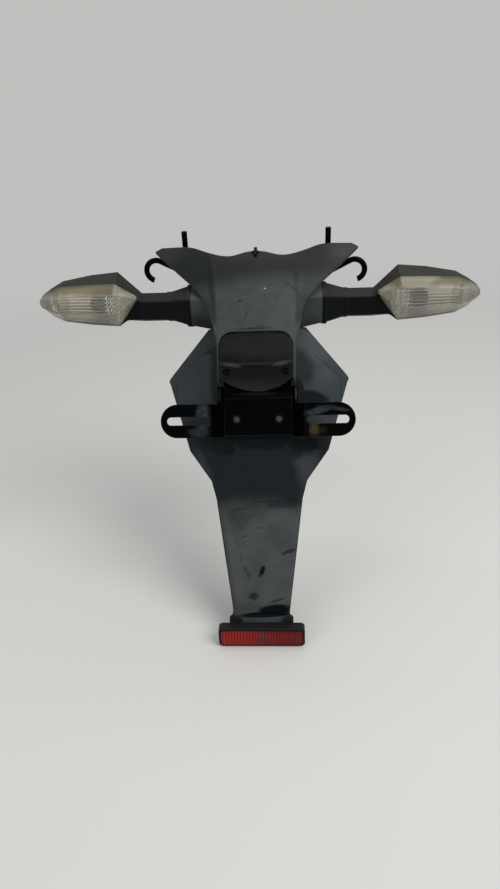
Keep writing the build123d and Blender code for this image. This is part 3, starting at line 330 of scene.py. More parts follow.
class TailTidyColours(bpy.types.PropertyGroup):
    """Colours of the tail tidy's materials"""
    # Painted shade and light on the cover: its top edge is painted dark as shade, and it is painted paler low
    # down and to the right as light, over real sun fading
    cover_top_shaded: colour("Cover, top", "Moulded cover at its top edge", "#1c1f20")
    cover_faded_lit: colour("Cover, faded", "Moulded cover where the sun has faded it", "#404343")
    # Painted shade and reflection on the flap: it is painted darker below the bracket as shade, and paler on
    # its bent tail as a painted reflection
    flap_shaded: colour("Flap, below the bracket", "Mud flap below the bracket", "#1a1f21")
    flap_wing: colour("Flap, wings", "Wings of the mud flap", "#3c4244")
    flap_tail_lit: colour("Flap, tail", "Dry lower end of the mud flap", "#4a4d4d")
    # This colour is also painted shade on the cover, the flap and the fender
    damp_and_shade: colour("Damp", "Damp, oily and grimy patches", "#070b0e")
    fender: colour("Fender", "Inner fender", "#343b3d")
    enamel: colour("Enamel", "Black of the bracket, rods and dark fasteners", "#020304")
    dust: colour("Dust", "Dry road dust", "#6d6b64")
    # This colour is also painted highlights and a painted reflection on the bracket
    film: colour("Dust film", "Thin film of dried dust", "#585c60")
    rust: colour("Rust", "Rust on enamel and dulled plating", "#5f503a")
    lamp: colour("Lamp", "Housing of the plate lamp", "#090b0d")
    # This colour is also painted highlights along the lamp's ridge
    scuff_and_highlight: colour("Scuff", "Plastic where it is rubbed", "#47494d")
    rubber: colour("Rubber", "Indicator stalks", "#06080a")
    indicator: colour("Indicator", "Indicator housings", "#0b0c0e")
    clear: colour("Clear plastic", "Lens and bulb of the plate lamp", "#e6e5de")
    lens: colour("Lens", "Clear face of the indicator lenses", "#fbf8ee")
    lens_rim: colour("Lens, rim", "Yellowed rim of the indicator lenses", "#9a8e68")
    lens_ends: colour("Lens, ends", "Hazed ends of the indicator lenses", "#cdc8b4")
    bulb: colour("Bulb", "Amber bulbs", "#301c18")
    silver: colour("Silver", "Metallised liners and bare specks", "#f2f0ea")
    steel: colour("Steel", "Zinc plated fasteners", "#3e3e3d")
    reflector: colour("Reflector", "Red reflector", "#45090a")
    reflector_bright: colour("Reflector, bright", "Red reflector where it throws light back", "#b42720")
    tray: colour("Reflector tray", "Housing of the reflector", "#07090b")
    sky: colour("Sky", "Soft light from all round", "#a3a5a8")
    floor: colour("Floor", "Pale floor", "#dad9d4")
    background: colour("Background", "Pale background far from the object", "#c0c0be")


class TailTidySizes(bpy.types.PropertyGroup):
    """Sizes of the fine detail and of the stage"""
    reflector_pitch: length("Reflector rib", "Width of one rib of the reflector", 3.3)
    reflector_relief: length("Reflector relief", "Height of a rib of the reflector", 0.7)
    reflector_border: length("Reflector border", "Smooth border round the ribs", 1.6)
    recess_length: length("Recess length", "Length of one slot of a cross recess", 4.0)
    recess_width: length("Recess width", "Width of one slot of a cross recess", 1.0)
    recess_depth: length("Recess depth", "Depth of a cross recess", 1.5)
    floor_size: length("Floor", "Width of the floor", 24000.0)


def add_node(tree, kind, inputs=None, **settings):
    """Adds one shader node with its settings; each input takes a value or another node's output."""
    node = tree.nodes.new("ShaderNode" + kind)
    for name, value in settings.items():
        setattr(node, name, value)
    for name, value in (inputs or {}).items():
        if isinstance(value, bpy.types.NodeSocket):
            tree.links.new(value, node.inputs[name])
        else:
            node.inputs[name].default_value = value
    return node


def start_material(name):
    """New material: its node tree and the places on a piece in millimetres."""
    material = bpy.data.materials.new(name)
    material.use_nodes = True
    tree = material.node_tree
    tree.nodes.clear()
    place = add_node(tree, "TexCoord").outputs["Object"]
    places = add_node(tree, "VectorMath", {0: place, "Scale": 1 / MM}, operation="SCALE").outputs[0]
    return material, tree, places


def plate_places(tree, places):
    """Places across, up and out of the number plate's plane."""
    return add_node(tree, "Mapping", {"Vector": places, "Location": PLATE_MIDDLE, "Rotation": PLATE_TURN},
                    vector_type="TEXTURE").outputs[0]


def patch_mask(tree, places, patches, width, ragged, soft):
    """How much of any of the oval patches covers a place on an outer face.

    Noise of a width in millimetres frays the edges; ragged and soft are shares of a patch's half size.
    """
    rough = add_node(tree, "TexNoise", {"Vector": places, "Scale": 1 / width, "Detail": 4.0}).outputs["Fac"]
    total = None
    for across, up, half_width, half_height, turn, strength in patches:
        oval = add_node(tree, "Mapping", {
            "Vector": places,
            "Location": (across, up, 0),
            "Rotation": (0, 0, radians(turn)),
            "Scale": (half_width, half_height, FLATTENING),
        }, vector_type="TEXTURE").outputs[0]
        far = add_node(tree, "VectorMath", {0: oval}, operation="LENGTH").outputs["Value"]
        edge = add_node(tree, "Math", {0: rough, 1: ragged, 2: far}, operation="MULTIPLY_ADD").outputs[0]
        inside = add_node(tree, "MapRange", {
            "Value": edge,
            "From Min": 1 + ragged / 2 + soft / 2,
            "From Max": 1 + ragged / 2 - soft / 2,
            "To Max": strength,
        }, interpolation_type="SMOOTHSTEP").outputs[0]
        if total is None:
            total = inside
        else:
            total = add_node(tree, "Math", {0: total, 1: inside}, operation="MAXIMUM").outputs[0]
    normal = add_node(tree, "NewGeometry").outputs["Normal"]
    facing = add_node(tree, "VectorMath", {0: normal, 1: PLATE_OUT}, operation="DOT_PRODUCT").outputs["Value"]
    outer = add_node(tree, "MapRange", {"Value": facing, "From Max": OUTER_FACING}).outputs[0]
    return add_node(tree, "Math", {0: total, 1: outer}, operation="MULTIPLY").outputs[0]


def edge_wear(tree, radius):
    """Softened normal at a piece's edges, and how near a place is to an edge."""
    soft = add_node(tree, "Bevel", {"Radius": radius * MM}, samples=6).outputs[0]
    plain = add_node(tree, "NewGeometry").outputs["Normal"]
    level = add_node(tree, "VectorMath", {0: soft, 1: plain}, operation="DOT_PRODUCT").outputs["Value"]
    near = add_node(tree, "MapRange", {"Value": level, **EDGE_TURN}).outputs[0]
    return soft, near


def grain(tree, places, width, height, normal):
    """Normal of a moulded or sprayed grain of a width and height in millimetres."""
    # Real grain is a few tenths of a millimetre wide, too fine to show, so every grain here is drawn coarser
    noise = add_node(tree, "TexNoise", {"Vector": places, "Scale": 1 / width, "Detail": 3.0}).outputs["Fac"]
    return add_node(tree, "Bump", {
        "Height": noise, "Distance": height * MM, "Strength": 1.0, "Normal": normal,
    }).outputs[0]


def faded_and_shaded_polypropylene(colours):
    """Black polypropylene, moulded: satin, with scuffs and smears on its face; paler low down and to the
    right, partly from sun fading and partly as painted light, with painted shade at its top edge, in its
    creases and above the lamp.
    """
    material, tree, places = start_material("faded and shaded moulded polypropylene")
    plate = plate_places(tree, places)
    across, up, _ = add_node(tree, "SeparateXYZ", {0: plate}).outputs
    cloud = add_node(tree, "TexNoise", {
        "Vector": plate, "Scale": 1 / COVER_CLOUD, "Detail": 5.0}).outputs["Fac"]
    # Painted shade and light: dark at the top edge as shade, paler low down and to the right as light, over
    # real sun fading
    leant = add_node(tree, "Math", {0: across, 1: COVER_LIGHT_TILT, 2: up}, operation="MULTIPLY_ADD").outputs[0]
    level = add_node(tree, "Math", {0: cloud, 1: COVER_DRIFT, 2: leant}, operation="MULTIPLY_ADD").outputs[0]
    faded = add_node(tree, "MapRange", {"Value": level, **COVER_FADE},
                     interpolation_type="SMOOTHSTEP").outputs[0]
    blotch = add_node(tree, "TexNoise", {
        "Vector": plate, "Scale": 1 / COVER_BLOTCH, "Detail": 6.0}).outputs["Fac"]
    dull = add_node(tree, "MapRange", {
        "Value": blotch, "From Min": 0.45, "From Max": 0.75, "To Max": 0.35}).outputs[0]
    # Dark spots, with painted shade at the top, in the creases and above the lamp
    marks_and_shade = patch_mask(tree, plate, COVER_MARKS_AND_SHADE, width=4, ragged=0.9, soft=0.9)
    tips = patch_mask(tree, plate, COVER_TIPS, width=12, ragged=0.8, soft=1.4)
    specks = patch_mask(tree, plate, COVER_SPECKS, width=2, ragged=0.3, soft=0.5)
    soft, _ = edge_wear(tree, radius=3.0)
    _, near = edge_wear(tree, radius=1.3)
    paler = add_node(tree, "Math", {0: near, 1: COVER_EDGES}, operation="MULTIPLY").outputs[0]
    base = colours.cover_top_shaded
    for share, tint in ((faded, colours.cover_faded_lit), (dull, colours.cover_top_shaded), (marks_and_shade, colours.damp_and_shade),
                        (tips, colours.film), (specks, colours.silver), (paler, colours.dust)):
        base = add_node(tree, "Mix", {0: share, 6: base, 7: tint}, data_type="RGBA").outputs[2]
    rough = add_node(tree, "MapRange", {"Value": cloud, "To Min": 0.4, "To Max": 0.56}).outputs[0]
    surface = add_node(tree, "BsdfPrincipled", {
        "Base Color": base, "Roughness": rough, "Specular IOR Level": 0.16,
        "Normal": grain(tree, places, width=1.0, height=0.04, normal=soft),
    }).outputs[0]
    add_node(tree, "OutputMaterial", {"Surface": surface})
    return material


def stained_and_shaded_polypropylene(colours):
    """Black polypropylene, moulded: grey on its wings, with stains, scratches and dark slick patches; painted
    shade darkens it below and beside the bracket, beside the lamp and along its rims, and a painted
    reflection makes its bent tail paler.
    """
    material, tree, places = start_material("stained and shaded moulded polypropylene")
    plate = plate_places(tree, places)
    up = add_node(tree, "SeparateXYZ", {0: plate}).outputs["Y"]
    cloud = add_node(tree, "TexNoise", {
        "Vector": plate, "Scale": 1 / FLAP_CLOUD, "Detail": 6.0}).outputs["Fac"]
    height = add_node(tree, "Math", {0: cloud, 1: FLAP_DRIFT, 2: up}, operation="MULTIPLY_ADD").outputs[0]
    # Painted shade below the bracket, and a painted reflection that makes the bent tail paler
    wing, tail = (
        add_node(tree, "MapRange", {"Value": height, **fade}, interpolation_type="SMOOTHSTEP").outputs[0]
        for fade in (WING_FADE, TAIL_FADE))
    mottle = add_node(tree, "MapRange", {
        "Value": cloud, "From Min": 0.45, "From Max": 0.75, "To Max": 0.4}).outputs[0]
    pale = patch_mask(tree, plate, DRY_PATCHES, width=14, ragged=1.2, soft=1.4)
    # Painted shade beside the lamp and under the bracket, with a dark streak
    damp_and_shade = patch_mask(tree, plate, SHADE_AND_DAMP_PATCHES, width=9, ragged=1.3, soft=0.7)
    stain = patch_mask(tree, plate, TAIL_STAINS, width=4, ragged=1.2, soft=0.8)
    # Painted shadow beside the bracket and painted shade along the rims and the tail's bend, with dark smears
    smear = patch_mask(tree, plate, SHADE_AND_SMEARS, width=7, ragged=0.4, soft=0.5)
    wet_and_shade = add_node(tree, "Math", {0: damp_and_shade, 1: stain}, operation="MAXIMUM").outputs[0]
    wet_and_shade = add_node(tree, "Math", {0: wet_and_shade, 1: smear}, operation="MAXIMUM").outputs[0]
    scratch = patch_mask(tree, plate, SCRATCHES, width=3, ragged=0.6, soft=0.8)
    soft, near = edge_wear(tree, radius=1.2)
    # Painted shade along the rolled edges
    painted_shade = add_node(tree, "Math", {0: near, 1: FLAP_EDGES}, operation="MULTIPLY").outputs[0]
    base = colours.flap_shaded
    for share, tint in ((wing, colours.flap_wing), (tail, colours.flap_tail_lit), (mottle, colours.flap_shaded),
                        (pale, colours.film), (wet_and_shade, colours.damp_and_shade), (scratch, colours.dust),
                        (painted_shade, colours.flap_shaded)):
        base = add_node(tree, "Mix", {0: share, 6: base, 7: tint}, data_type="RGBA").outputs[2]
    dry = add_node(tree, "MapRange", {"Value": cloud, "To Min": 0.5, "To Max": 0.65}).outputs[0]
    rough = add_node(tree, "Mix", {0: wet_and_shade, 2: dry, 3: DAMP_ROUGHNESS}).outputs[0]
    surface = add_node(tree, "BsdfPrincipled", {
        "Base Color": base, "Roughness": rough, "Specular IOR Level": 0.06,
        "Normal": grain(tree, places, width=1.2, height=0.05, normal=soft),
    }).outputs[0]
    add_node(tree, "OutputMaterial", {"Surface": surface})
    return material


def weathered_plastic(name, base_colour, colours, roughness, shine, dust, painted_shade=()):
    """Moulded plastic or rubber out in the weather: satin, mottled, dusty on top, with patches of painted
    shade where they are given.
    """
    material, tree, places = start_material(name)
    cloud = add_node(tree, "TexNoise", {
        "Vector": places, "Scale": 1 / PLASTIC_CLOUD, "Detail": 5.0}).outputs["Fac"]
    soft, near = edge_wear(tree, radius=1.0)
    facing = add_node(tree, "SeparateXYZ", {0: add_node(tree, "NewGeometry").outputs["Normal"]}).outputs["Z"]
    level = add_node(tree, "Math", {0: cloud, 1: DUST_CLOUD, 2: facing}, operation="MULTIPLY_ADD").outputs[0]
    dusty = add_node(tree, "MapRange", {"Value": level, **DUST_LEVEL, "To Max": dust}).outputs[0]
    paler = add_node(tree, "Math", {
        0: near, 1: DUST_EDGES * dust, 2: dusty}, operation="MULTIPLY_ADD").outputs[0]
    base = add_node(tree, "Mix", {0: paler, 6: base_colour, 7: colours.dust}, data_type="RGBA").outputs[2]
    # Painted shade where patches are given, as low on the fender
    if painted_shade:
        dark = patch_mask(tree, plate_places(tree, places), painted_shade, width=8, ragged=0.6, soft=1.4)
        base = add_node(tree, "Mix", {0: dark, 6: base, 7: colours.damp_and_shade}, data_type="RGBA").outputs[2]
    rough = add_node(tree, "MapRange", {
        "Value": cloud, "To Min": roughness - ROUGHNESS_CLOUD, "To Max": roughness + ROUGHNESS_CLOUD,
    }).outputs[0]
    surface = add_node(tree, "BsdfPrincipled", {
        "Base Color": base, "Roughness": rough, "Specular IOR Level": shine,
        "Normal": grain(tree, places, width=0.9, height=0.04, normal=soft),
    }).outputs[0]
    add_node(tree, "OutputMaterial", {"Surface": surface})
    return material


def gloss_enamel(colours):
    """Black enamel, sprayed on pressed steel: deep gloss, with dried dust and a little rust on the ears, pale
    strips on the right ear, painted highlights along its edges and struts and a painted reflection along its
    lip.
    """
    material, tree, places = start_material("gloss black enamel")
    plate = plate_places(tree, places)
    # Dust on the left ear, pale strips on the right ear, painted highlights down the struts and a painted
    # reflection along the lip
    dust = patch_mask(tree, plate, DUST_AND_HIGHLIGHTS_ON_BRACKET, width=6, ragged=1.0, soft=1.0)
    rust = patch_mask(tree, plate, RUST_ON_EARS, width=4, ragged=1.6, soft=1.2)
    fleck = add_node(tree, "TexNoise", {
        "Vector": places, "Scale": 1 / ENAMEL_FLECK, "Detail": 5.0}).outputs["Fac"]
    broken = add_node(tree, "MapRange", {
        "Value": fleck, "From Min": 0.3, "From Max": 0.65, "To Min": 0.4}).outputs[0]
    dust = add_node(tree, "Math", {0: dust, 1: broken}, operation="MULTIPLY").outputs[0]
    soft, near = edge_wear(tree, radius=0.8)
    # Painted highlights along the edges
    paler = add_node(tree, "Math", {0: near, 1: ENAMEL_EDGES}, operation="MULTIPLY").outputs[0]
    base = colours.enamel
    for share, tint in ((dust, colours.film), (rust, colours.rust), (paler, colours.film)):
        base = add_node(tree, "Mix", {0: share, 6: base, 7: tint}, data_type="RGBA").outputs[2]
    dull = add_node(tree, "Math", {0: dust, 1: rust}, operation="MAXIMUM").outputs[0]
    rough = add_node(tree, "MapRange", {"Value": dull, "To Min": 0.22, "To Max": 0.75}).outputs[0]
    surface = add_node(tree, "BsdfPrincipled", {
        "Base Color": base, "Roughness": rough, "Specular IOR Level": 0.03,
        "Normal": grain(tree, places, width=1.6, height=0.015, normal=soft),
    }).outputs[0]
    add_node(tree, "OutputMaterial", {"Surface": surface})
    return material


def scuffed_and_highlighted_abs(colours):
    """Gloss ABS, moulded: dark, hazed by fine scuffs, with painted highlights along its ridge, paler towards
    its lower lip.
    """
    material, tree, places = start_material("scuffed gloss ABS")
    plate = plate_places(tree, places)
    haze = add_node(tree, "TexNoise", {
        "Vector": plate, "Scale": 1 / LAMP_CLOUD, "Detail": 6.0}).outputs["Fac"]
    up = add_node(tree, "SeparateXYZ", {0: plate}).outputs["Y"]
    level = add_node(tree, "Math", {0: haze, 1: LAMP_DRIFT, 2: up}, operation="MULTIPLY_ADD").outputs[0]
    roof = add_node(tree, "MapRange", {"Value": level, **LAMP_ROOF_FADE, "To Max": 0.04}).outputs[0]
    base = add_node(tree, "Mix", {0: roof, 6: colours.lamp, 7: colours.dust}, data_type="RGBA").outputs[2]
    # Paler towards the lower lip
    lip = add_node(tree, "MapRange", {"Value": level, **LAMP_LIP_FADE, "To Max": 0.16}).outputs[0]
    # Painted highlights along the ridge
    glinting = patch_mask(tree, plate, LAMP_GLINTS, width=5, ragged=1.2, soft=1.4)
    soft, near = edge_wear(tree, radius=1.0)
    paler = add_node(tree, "Math", {0: near, 1: LAMP_EDGES, 2: glinting}, operation="MULTIPLY_ADD").outputs[0]
    scuffs_and_highlights = add_node(tree, "Math", {0: paler, 1: lip}, operation="MAXIMUM").outputs[0]
    base = add_node(tree, "Mix", {0: scuffs_and_highlights, 6: base, 7: colours.scuff_and_highlight}, data_type="RGBA").outputs[2]
    rough = add_node(tree, "MapRange", {
        "Value": haze, "From Min": 0.3, "From Max": 0.7, "To Min": 0.22, "To Max": 0.45}).outputs[0]
    surface = add_node(tree, "BsdfPrincipled", {
        "Base Color": base, "Roughness": rough, "Specular IOR Level": 0.12,
        "Normal": grain(tree, places, width=2.5, height=0.02, normal=soft),
    }).outputs[0]
    add_node(tree, "OutputMaterial", {"Surface": surface})
    return material


def zinc_steel(colours):
    """Mild steel, zinc plated: grey, softly bright, with cloudy patches where the plating has dulled."""
    material, tree, places = start_material("dull zinc plated steel")
    cloud = add_node(tree, "TexNoise", {
        "Vector": places, "Scale": 1 / ZINC_CLOUD, "Detail": 4.0}).outputs["Fac"]
    dull = add_node(tree, "MapRange", {
        "Value": cloud, "From Min": 0.45, "From Max": 0.8, "To Max": 0.5}).outputs[0]
    base = add_node(tree, "Mix", {0: dull, 6: colours.steel, 7: colours.rust}, data_type="RGBA").outputs[2]
    rough = add_node(tree, "MapRange", {"Value": cloud, "To Min": 0.45, "To Max": 0.7}).outputs[0]
    soft, _ = edge_wear(tree, radius=0.3)
    surface = add_node(tree, "BsdfPrincipled", {
        "Base Color": base, "Metallic": 0.6, "Roughness": rough, "Specular IOR Level": 0.2,
        "Normal": grain(tree, places, width=0.6, height=0.02, normal=soft),
    }).outputs[0]
    add_node(tree, "OutputMaterial", {"Surface": surface})
    return material


def blackened_steel(colours):
    """Mild steel, blackened in a salt bath: near black and satin, a little greyer on its corners."""
    material, tree, places = start_material("blackened steel")
    cloud = add_node(tree, "TexNoise", {
        "Vector": places, "Scale": 1 / BLACKENED_CLOUD, "Detail": 4.0}).outputs["Fac"]
    soft, near = edge_wear(tree, radius=0.4)
    paler = add_node(tree, "Math", {0: near, 1: cloud}, operation="MULTIPLY").outputs[0]
    share = add_node(tree, "MapRange", {"Value": paler, "To Max": 0.2}).outputs[0]
    base = add_node(tree, "Mix", {0: share, 6: colours.enamel, 7: colours.steel}, data_type="RGBA").outputs[2]
    rough = add_node(tree, "MapRange", {"Value": cloud, "To Min": 0.3, "To Max": 0.5}).outputs[0]
    surface = add_node(tree, "BsdfPrincipled", {
        "Base Color": base, "Roughness": rough, "Specular IOR Level": 0.08,
        "Normal": grain(tree, places, width=0.6, height=0.02, normal=soft),
    }).outputs[0]
    add_node(tree, "OutputMaterial", {"Surface": surface})
    return material


def clear_acrylic(colours):
    """Clear acrylic, moulded: light passes straight through, and fine wear hazes its face."""
    material, tree, places = start_material("clear acrylic")
    wear = add_node(tree, "TexNoise", {
        "Vector": places, "Scale": 1 / ACRYLIC_WEAR, "Detail": 5.0}).outputs["Fac"]
    rough = add_node(tree, "MapRange", {"Value": wear, "To Min": 0.01, "To Max": 0.08}).outputs[0]
    surface = add_node(tree, "BsdfPrincipled", {
        "Base Color": colours.clear, "IOR": 1.49, "Transmission Weight": 0.9, "Roughness": rough,
    }).outputs[0]
    add_node(tree, "OutputMaterial", {"Surface": surface})
    return material


def yellowed_acrylic(colours):
    """Clear acrylic, moulded: clear over its face, yellowed along its upper rim and hazed at both ends."""
    material, tree, places = start_material("yellowed clear acrylic")
    across, _, up = add_node(tree, "SeparateXYZ", {0: places}).outputs
    away = add_node(tree, "Math", {0: across}, operation="ABSOLUTE").outputs[0]
    wear = add_node(tree, "TexNoise", {
        "Vector": places, "Scale": 1 / LENS_WEAR, "Detail": 5.0}).outputs["Fac"]
    rim = add_node(tree, "MapRange", {"Value": up, **RIM_FADE, "To Max": 0.9}).outputs[0]
    inner = add_node(tree, "MapRange", {"Value": away, **INNER_HAZE}).outputs[0]
    outer = add_node(tree, "MapRange", {"Value": away, **OUTER_HAZE, "To Max": 0.8}).outputs[0]
    ends = add_node(tree, "Math", {0: inner, 1: outer}, operation="MAXIMUM").outputs[0]
    base = add_node(tree, "Mix", {
        0: ends, 6: colours.lens, 7: colours.lens_ends}, data_type="RGBA").outputs[2]
    base = add_node(tree, "Mix", {0: rim, 6: base, 7: colours.lens_rim}, data_type="RGBA").outputs[2]
    cloudy = add_node(tree, "Math", {0: ends, 1: rim}, operation="MAXIMUM").outputs[0]
    clear = add_node(tree, "MapRange", {"Value": cloudy, "To Min": 0.96, "To Max": 0.7}).outputs[0]
    rough = add_node(tree, "MapRange", {"Value": wear, "To Min": 0.03, "To Max": 0.11}).outputs[0]
    surface = add_node(tree, "BsdfPrincipled", {
        "Base Color": base, "IOR": 1.49, "Transmission Weight": clear, "Roughness": rough,
    }).outputs[0]
    add_node(tree, "OutputMaterial", {"Surface": surface})
    return material


def bulb_glass(name, tint, transmission):
    """Blown glass, clear or coated: bright and smooth, a little streaky."""
    material, tree, places = start_material(name)
    streak = add_node(tree, "TexNoise", {
        "Vector": places, "Scale": 1 / GLASS_STREAK, "Detail": 2.0}).outputs["Fac"]
    deep = add_node(tree, "HueSaturation", {"Value": 0.6, "Color": tint}).outputs[0]
    base = add_node(tree, "Mix", {0: streak, 6: tint, 7: deep}, data_type="RGBA").outputs[2]
    rough = add_node(tree, "MapRange", {"Value": streak, "To Min": 0.05, "To Max": 0.15}).outputs[0]
    surface = add_node(tree, "BsdfPrincipled", {
        "Base Color": base, "Roughness": rough, "IOR": 1.5, "Transmission Weight": transmission,
    }).outputs[0]
    add_node(tree, "OutputMaterial", {"Surface": surface})
    return material


def metallised_plastic(colours):
    """Plastic, metallised in a vacuum: silver, with a faint orange peel and a dull bloom."""
    material, tree, places = start_material("metallised plastic")
    bloom = add_node(tree, "TexNoise", {
        "Vector": places, "Scale": 1 / SILVER_BLOOM, "Detail": 4.0}).outputs["Fac"]
    dim = add_node(tree, "HueSaturation", {"Value": 0.85, "Color": colours.silver}).outputs[0]
    base = add_node(tree, "Mix", {0: bloom, 6: colours.silver, 7: dim}, data_type="RGBA").outputs[2]
    rough = add_node(tree, "MapRange", {"Value": bloom, "To Min": 0.3, "To Max": 0.45}).outputs[0]
    plain = add_node(tree, "NewGeometry").outputs["Normal"]
    surface = add_node(tree, "BsdfPrincipled", {
        "Base Color": base, "Metallic": 1.0, "Roughness": rough,
        "Normal": grain(tree, places, width=1.5, height=0.01, normal=plain),
    }).outputs[0]
    add_node(tree, "OutputMaterial", {"Surface": surface})
    return material


def red_acrylic(colours, pitch):
    """Red acrylic, moulded in upright ribs: painted light on their crests and painted shade between them, a
    painted highlight towards the left, with a dark smear.
    """
    material, tree, places = start_material("ribbed red acrylic")
    across = add_node(tree, "SeparateXYZ", {0: places}).outputs["X"]
    cloud = add_node(tree, "TexNoise", {
        "Vector": places, "Scale": 1 / REFLECTOR_CLOUD, "Detail": 3.0}).outputs["Fac"]
    shifted = add_node(tree, "Math", {
        0: cloud, 1: REFLECTOR_DRIFT, 2: across}, operation="MULTIPLY_ADD").outputs[0]
    # Painted highlight: paler red towards the left
    bright = add_node(tree, "MapRange", {
        "Value": shifted, **REFLECTOR_FADE, "To Min": 0.36, "To Max": 0.92,
    }, interpolation_type="SMOOTHSTEP").outputs[0]
    # Painted light and shade on the ribs: paler on their crests, darker between them
    crest = add_node(tree, "Math", {0: across, 1: pitch / 2}, operation="PINGPONG").outputs[0]
    lit = add_node(tree, "MapRange", {"Value": crest, "From Max": pitch / 2, "To Min": 0.1}).outputs[0]
    share = add_node(tree, "Math", {0: bright, 1: lit}, operation="MULTIPLY").outputs[0]
    base = add_node(tree, "Mix", {
        0: share, 6: colours.reflector, 7: colours.reflector_bright}, data_type="RGBA").outputs[2]
    dark = add_node(tree, "HueSaturation", {"Value": 0.4, "Saturation": 0.7, "Color": base}).outputs[0]
    middle = add_node(tree, "Math", {0: across, 1: SMEAR_MIDDLE}, operation="SUBTRACT").outputs[0]
    off = add_node(tree, "Math", {0: middle}, operation="ABSOLUTE").outputs[0]
    smear = add_node(tree, "MapRange", {"Value": off, **SMEAR_FADE, "To Max": 0.6},
                     interpolation_type="SMOOTHSTEP").outputs[0]
    base = add_node(tree, "Mix", {0: smear, 6: base, 7: dark}, data_type="RGBA").outputs[2]
    rough = add_node(tree, "MapRange", {"Value": cloud, "To Min": 0.15, "To Max": 0.3}).outputs[0]
    surface = add_node(tree, "BsdfPrincipled", {
        "Base Color": base, "Roughness": rough, "IOR": 1.49, "Specular IOR Level": 0.15,
    }).outputs[0]
    add_node(tree, "OutputMaterial", {"Surface": surface})
    return material


def dress(material, *nodes):
    """Gives nodes of the frame a material."""
    for node in nodes:
        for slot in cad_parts[node].material_slots:
            slot.material = material


def pair(*names):
    """Right and left nodes of each name."""
    return [f"{name}_{side}" for name in names for side in SIDES]


def deselect():
    """Leaves nothing selected."""
    bpy.ops.object.select_all(action="DESELECT")


def select(piece):
    """Selects one piece alone and makes it active."""
    deselect()
    piece.select_set(True)
    bpy.context.view_layer.objects.active = piece


def merged_copy(node, name):
    """Copy of a node's mesh in a piece of its own, with its triangles joined."""
    piece = bpy.data.objects.new(name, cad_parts[node].data.copy())
    bpy.context.scene.collection.objects.link(piece)
    select(piece)
    bpy.ops.mesh.customdata_custom_splitnormals_clear()
    bpy.ops.object.mode_set(mode="EDIT")
    bpy.ops.mesh.select_all(action="SELECT")
    bpy.ops.mesh.remove_doubles(threshold=MERGE_DISTANCE)
    bpy.ops.object.mode_set(mode="OBJECT")
    return piece


def settle(piece):
    """Puts a piece's place, turn and scale into its mesh."""
    select(piece)
    bpy.ops.object.transform_apply(location=True, rotation=True, scale=True)


def join(pieces, name):
    """One piece from several, with its place in its mesh."""
    deselect()
    for piece in pieces:
        piece.select_set(True)
    bpy.context.view_layer.objects.active = pieces[0]
    bpy.ops.object.join()
    joined = bpy.context.view_layer.objects.active
    joined.name = name
    settle(joined)
    return joined


def combine(piece, tool, operation):
    """Adds a tool's shape to a piece or cuts it away, and removes the tool."""
    select(piece)
    modifier = piece.modifiers.new("combine", "BOOLEAN")
    modifier.operation = operation
    modifier.object = tool
    modifier.solver = "EXACT"
    modifier.use_self = True
    bpy.ops.object.modifier_apply(modifier=modifier.name)
    select(tool)
    bpy.ops.object.delete()


def finish_piece(piece, material, slot, smooth_angle, *replaced):
    """Gives a new piece its material, shading and body, and hides the nodes that it stands for."""
    select(piece)
    piece.data.materials.clear()
    piece.data.materials.append(material)
    bpy.ops.object.shade_smooth_by_angle(angle=radians(smooth_angle))
    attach(piece, "root")
    for node in replaced:
        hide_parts(node)


def cut_crosses(piece, heads, sizes):
    """Cuts a cross recess into each screw head of a piece; a head is a matrix with Z out of it."""
    blades = []
    for head in heads:
        for quarter in range(2):
            deselect()
            bpy.ops.mesh.primitive_cube_add(size=1)
            blade = bpy.context.object
            blade.scale = (sizes.recess_length, sizes.recess_width, 2 * sizes.recess_depth)
            blade.matrix_world = head @ Matrix.Rotation(quarter * pi / 2, 4, "Z") @ blade.matrix_basis
            blades.append(blade)
    combine(piece, join(blades, "cross_recess"), "DIFFERENCE")


def add_flute(start, end, radius_start, radius_end, inwards):
    """Bar that narrows from one point to another, flattened along a direction, in millimetres."""
    along = end - start
    side = along.cross(inwards)
    axes = Matrix([axis.normalized() for axis in (side.cross(along), side, along)]).transposed()
    deselect()
    bpy.ops.mesh.primitive_cone_add(
        vertices=FLUTE_SIDES, radius1=radius_start * MM, radius2=radius_end * MM, depth=along.length * MM,
        location=(start + end) / 2 * MM, rotation=axes.to_euler())
    flute = bpy.context.object
    flute.scale = (FLUTE_FLATNESS, 1, 1)
    return flute


def lens_section(x):
    """Section of the indicator lens at a place across."""
    first, second = (LENS_NECK, LENS_BODY) if x < LENS_BODY["x"] else (LENS_BODY, LENS_TIP)
    share = (x - first["x"]) / (second["x"] - first["x"])
    return {key: first[key] + (second[key] - first[key]) * share for key in first}


def front_point(section, share):
    """Middle of a flute on the inside of the lens's front face, its radius there and the way inwards."""
    height = section["high"] - section["low"]
    radius = FLUTE_FULLNESS * height / FRONT_FLUTES / 2
    middle = Vector((section["x"], section["front"] + FLUTE_DEPTH, section["low"] + share * height))
    return middle, radius, Vector((0, 1, 0))


def bevel_point(section, share):
    """Middle of a flute on the inside of the lens's lower bevel, its radius there and the way inwards."""
    foot = Vector((section["x"], LENS_PLANE_Y, section["bottom"]))
    crease = Vector((section["x"], section["front"], section["low"]))
    rise = crease - foot
    inwards = Vector((0, rise.z, -rise.y)).normalized()
    start, reach = BEVEL_SHARE
    radius = FLUTE_FULLNESS * rise.length * reach / BEVEL_FLUTES / 2
    return foot + rise * (start + reach * share) + inwards * FLUTE_DEPTH, radius, inwards


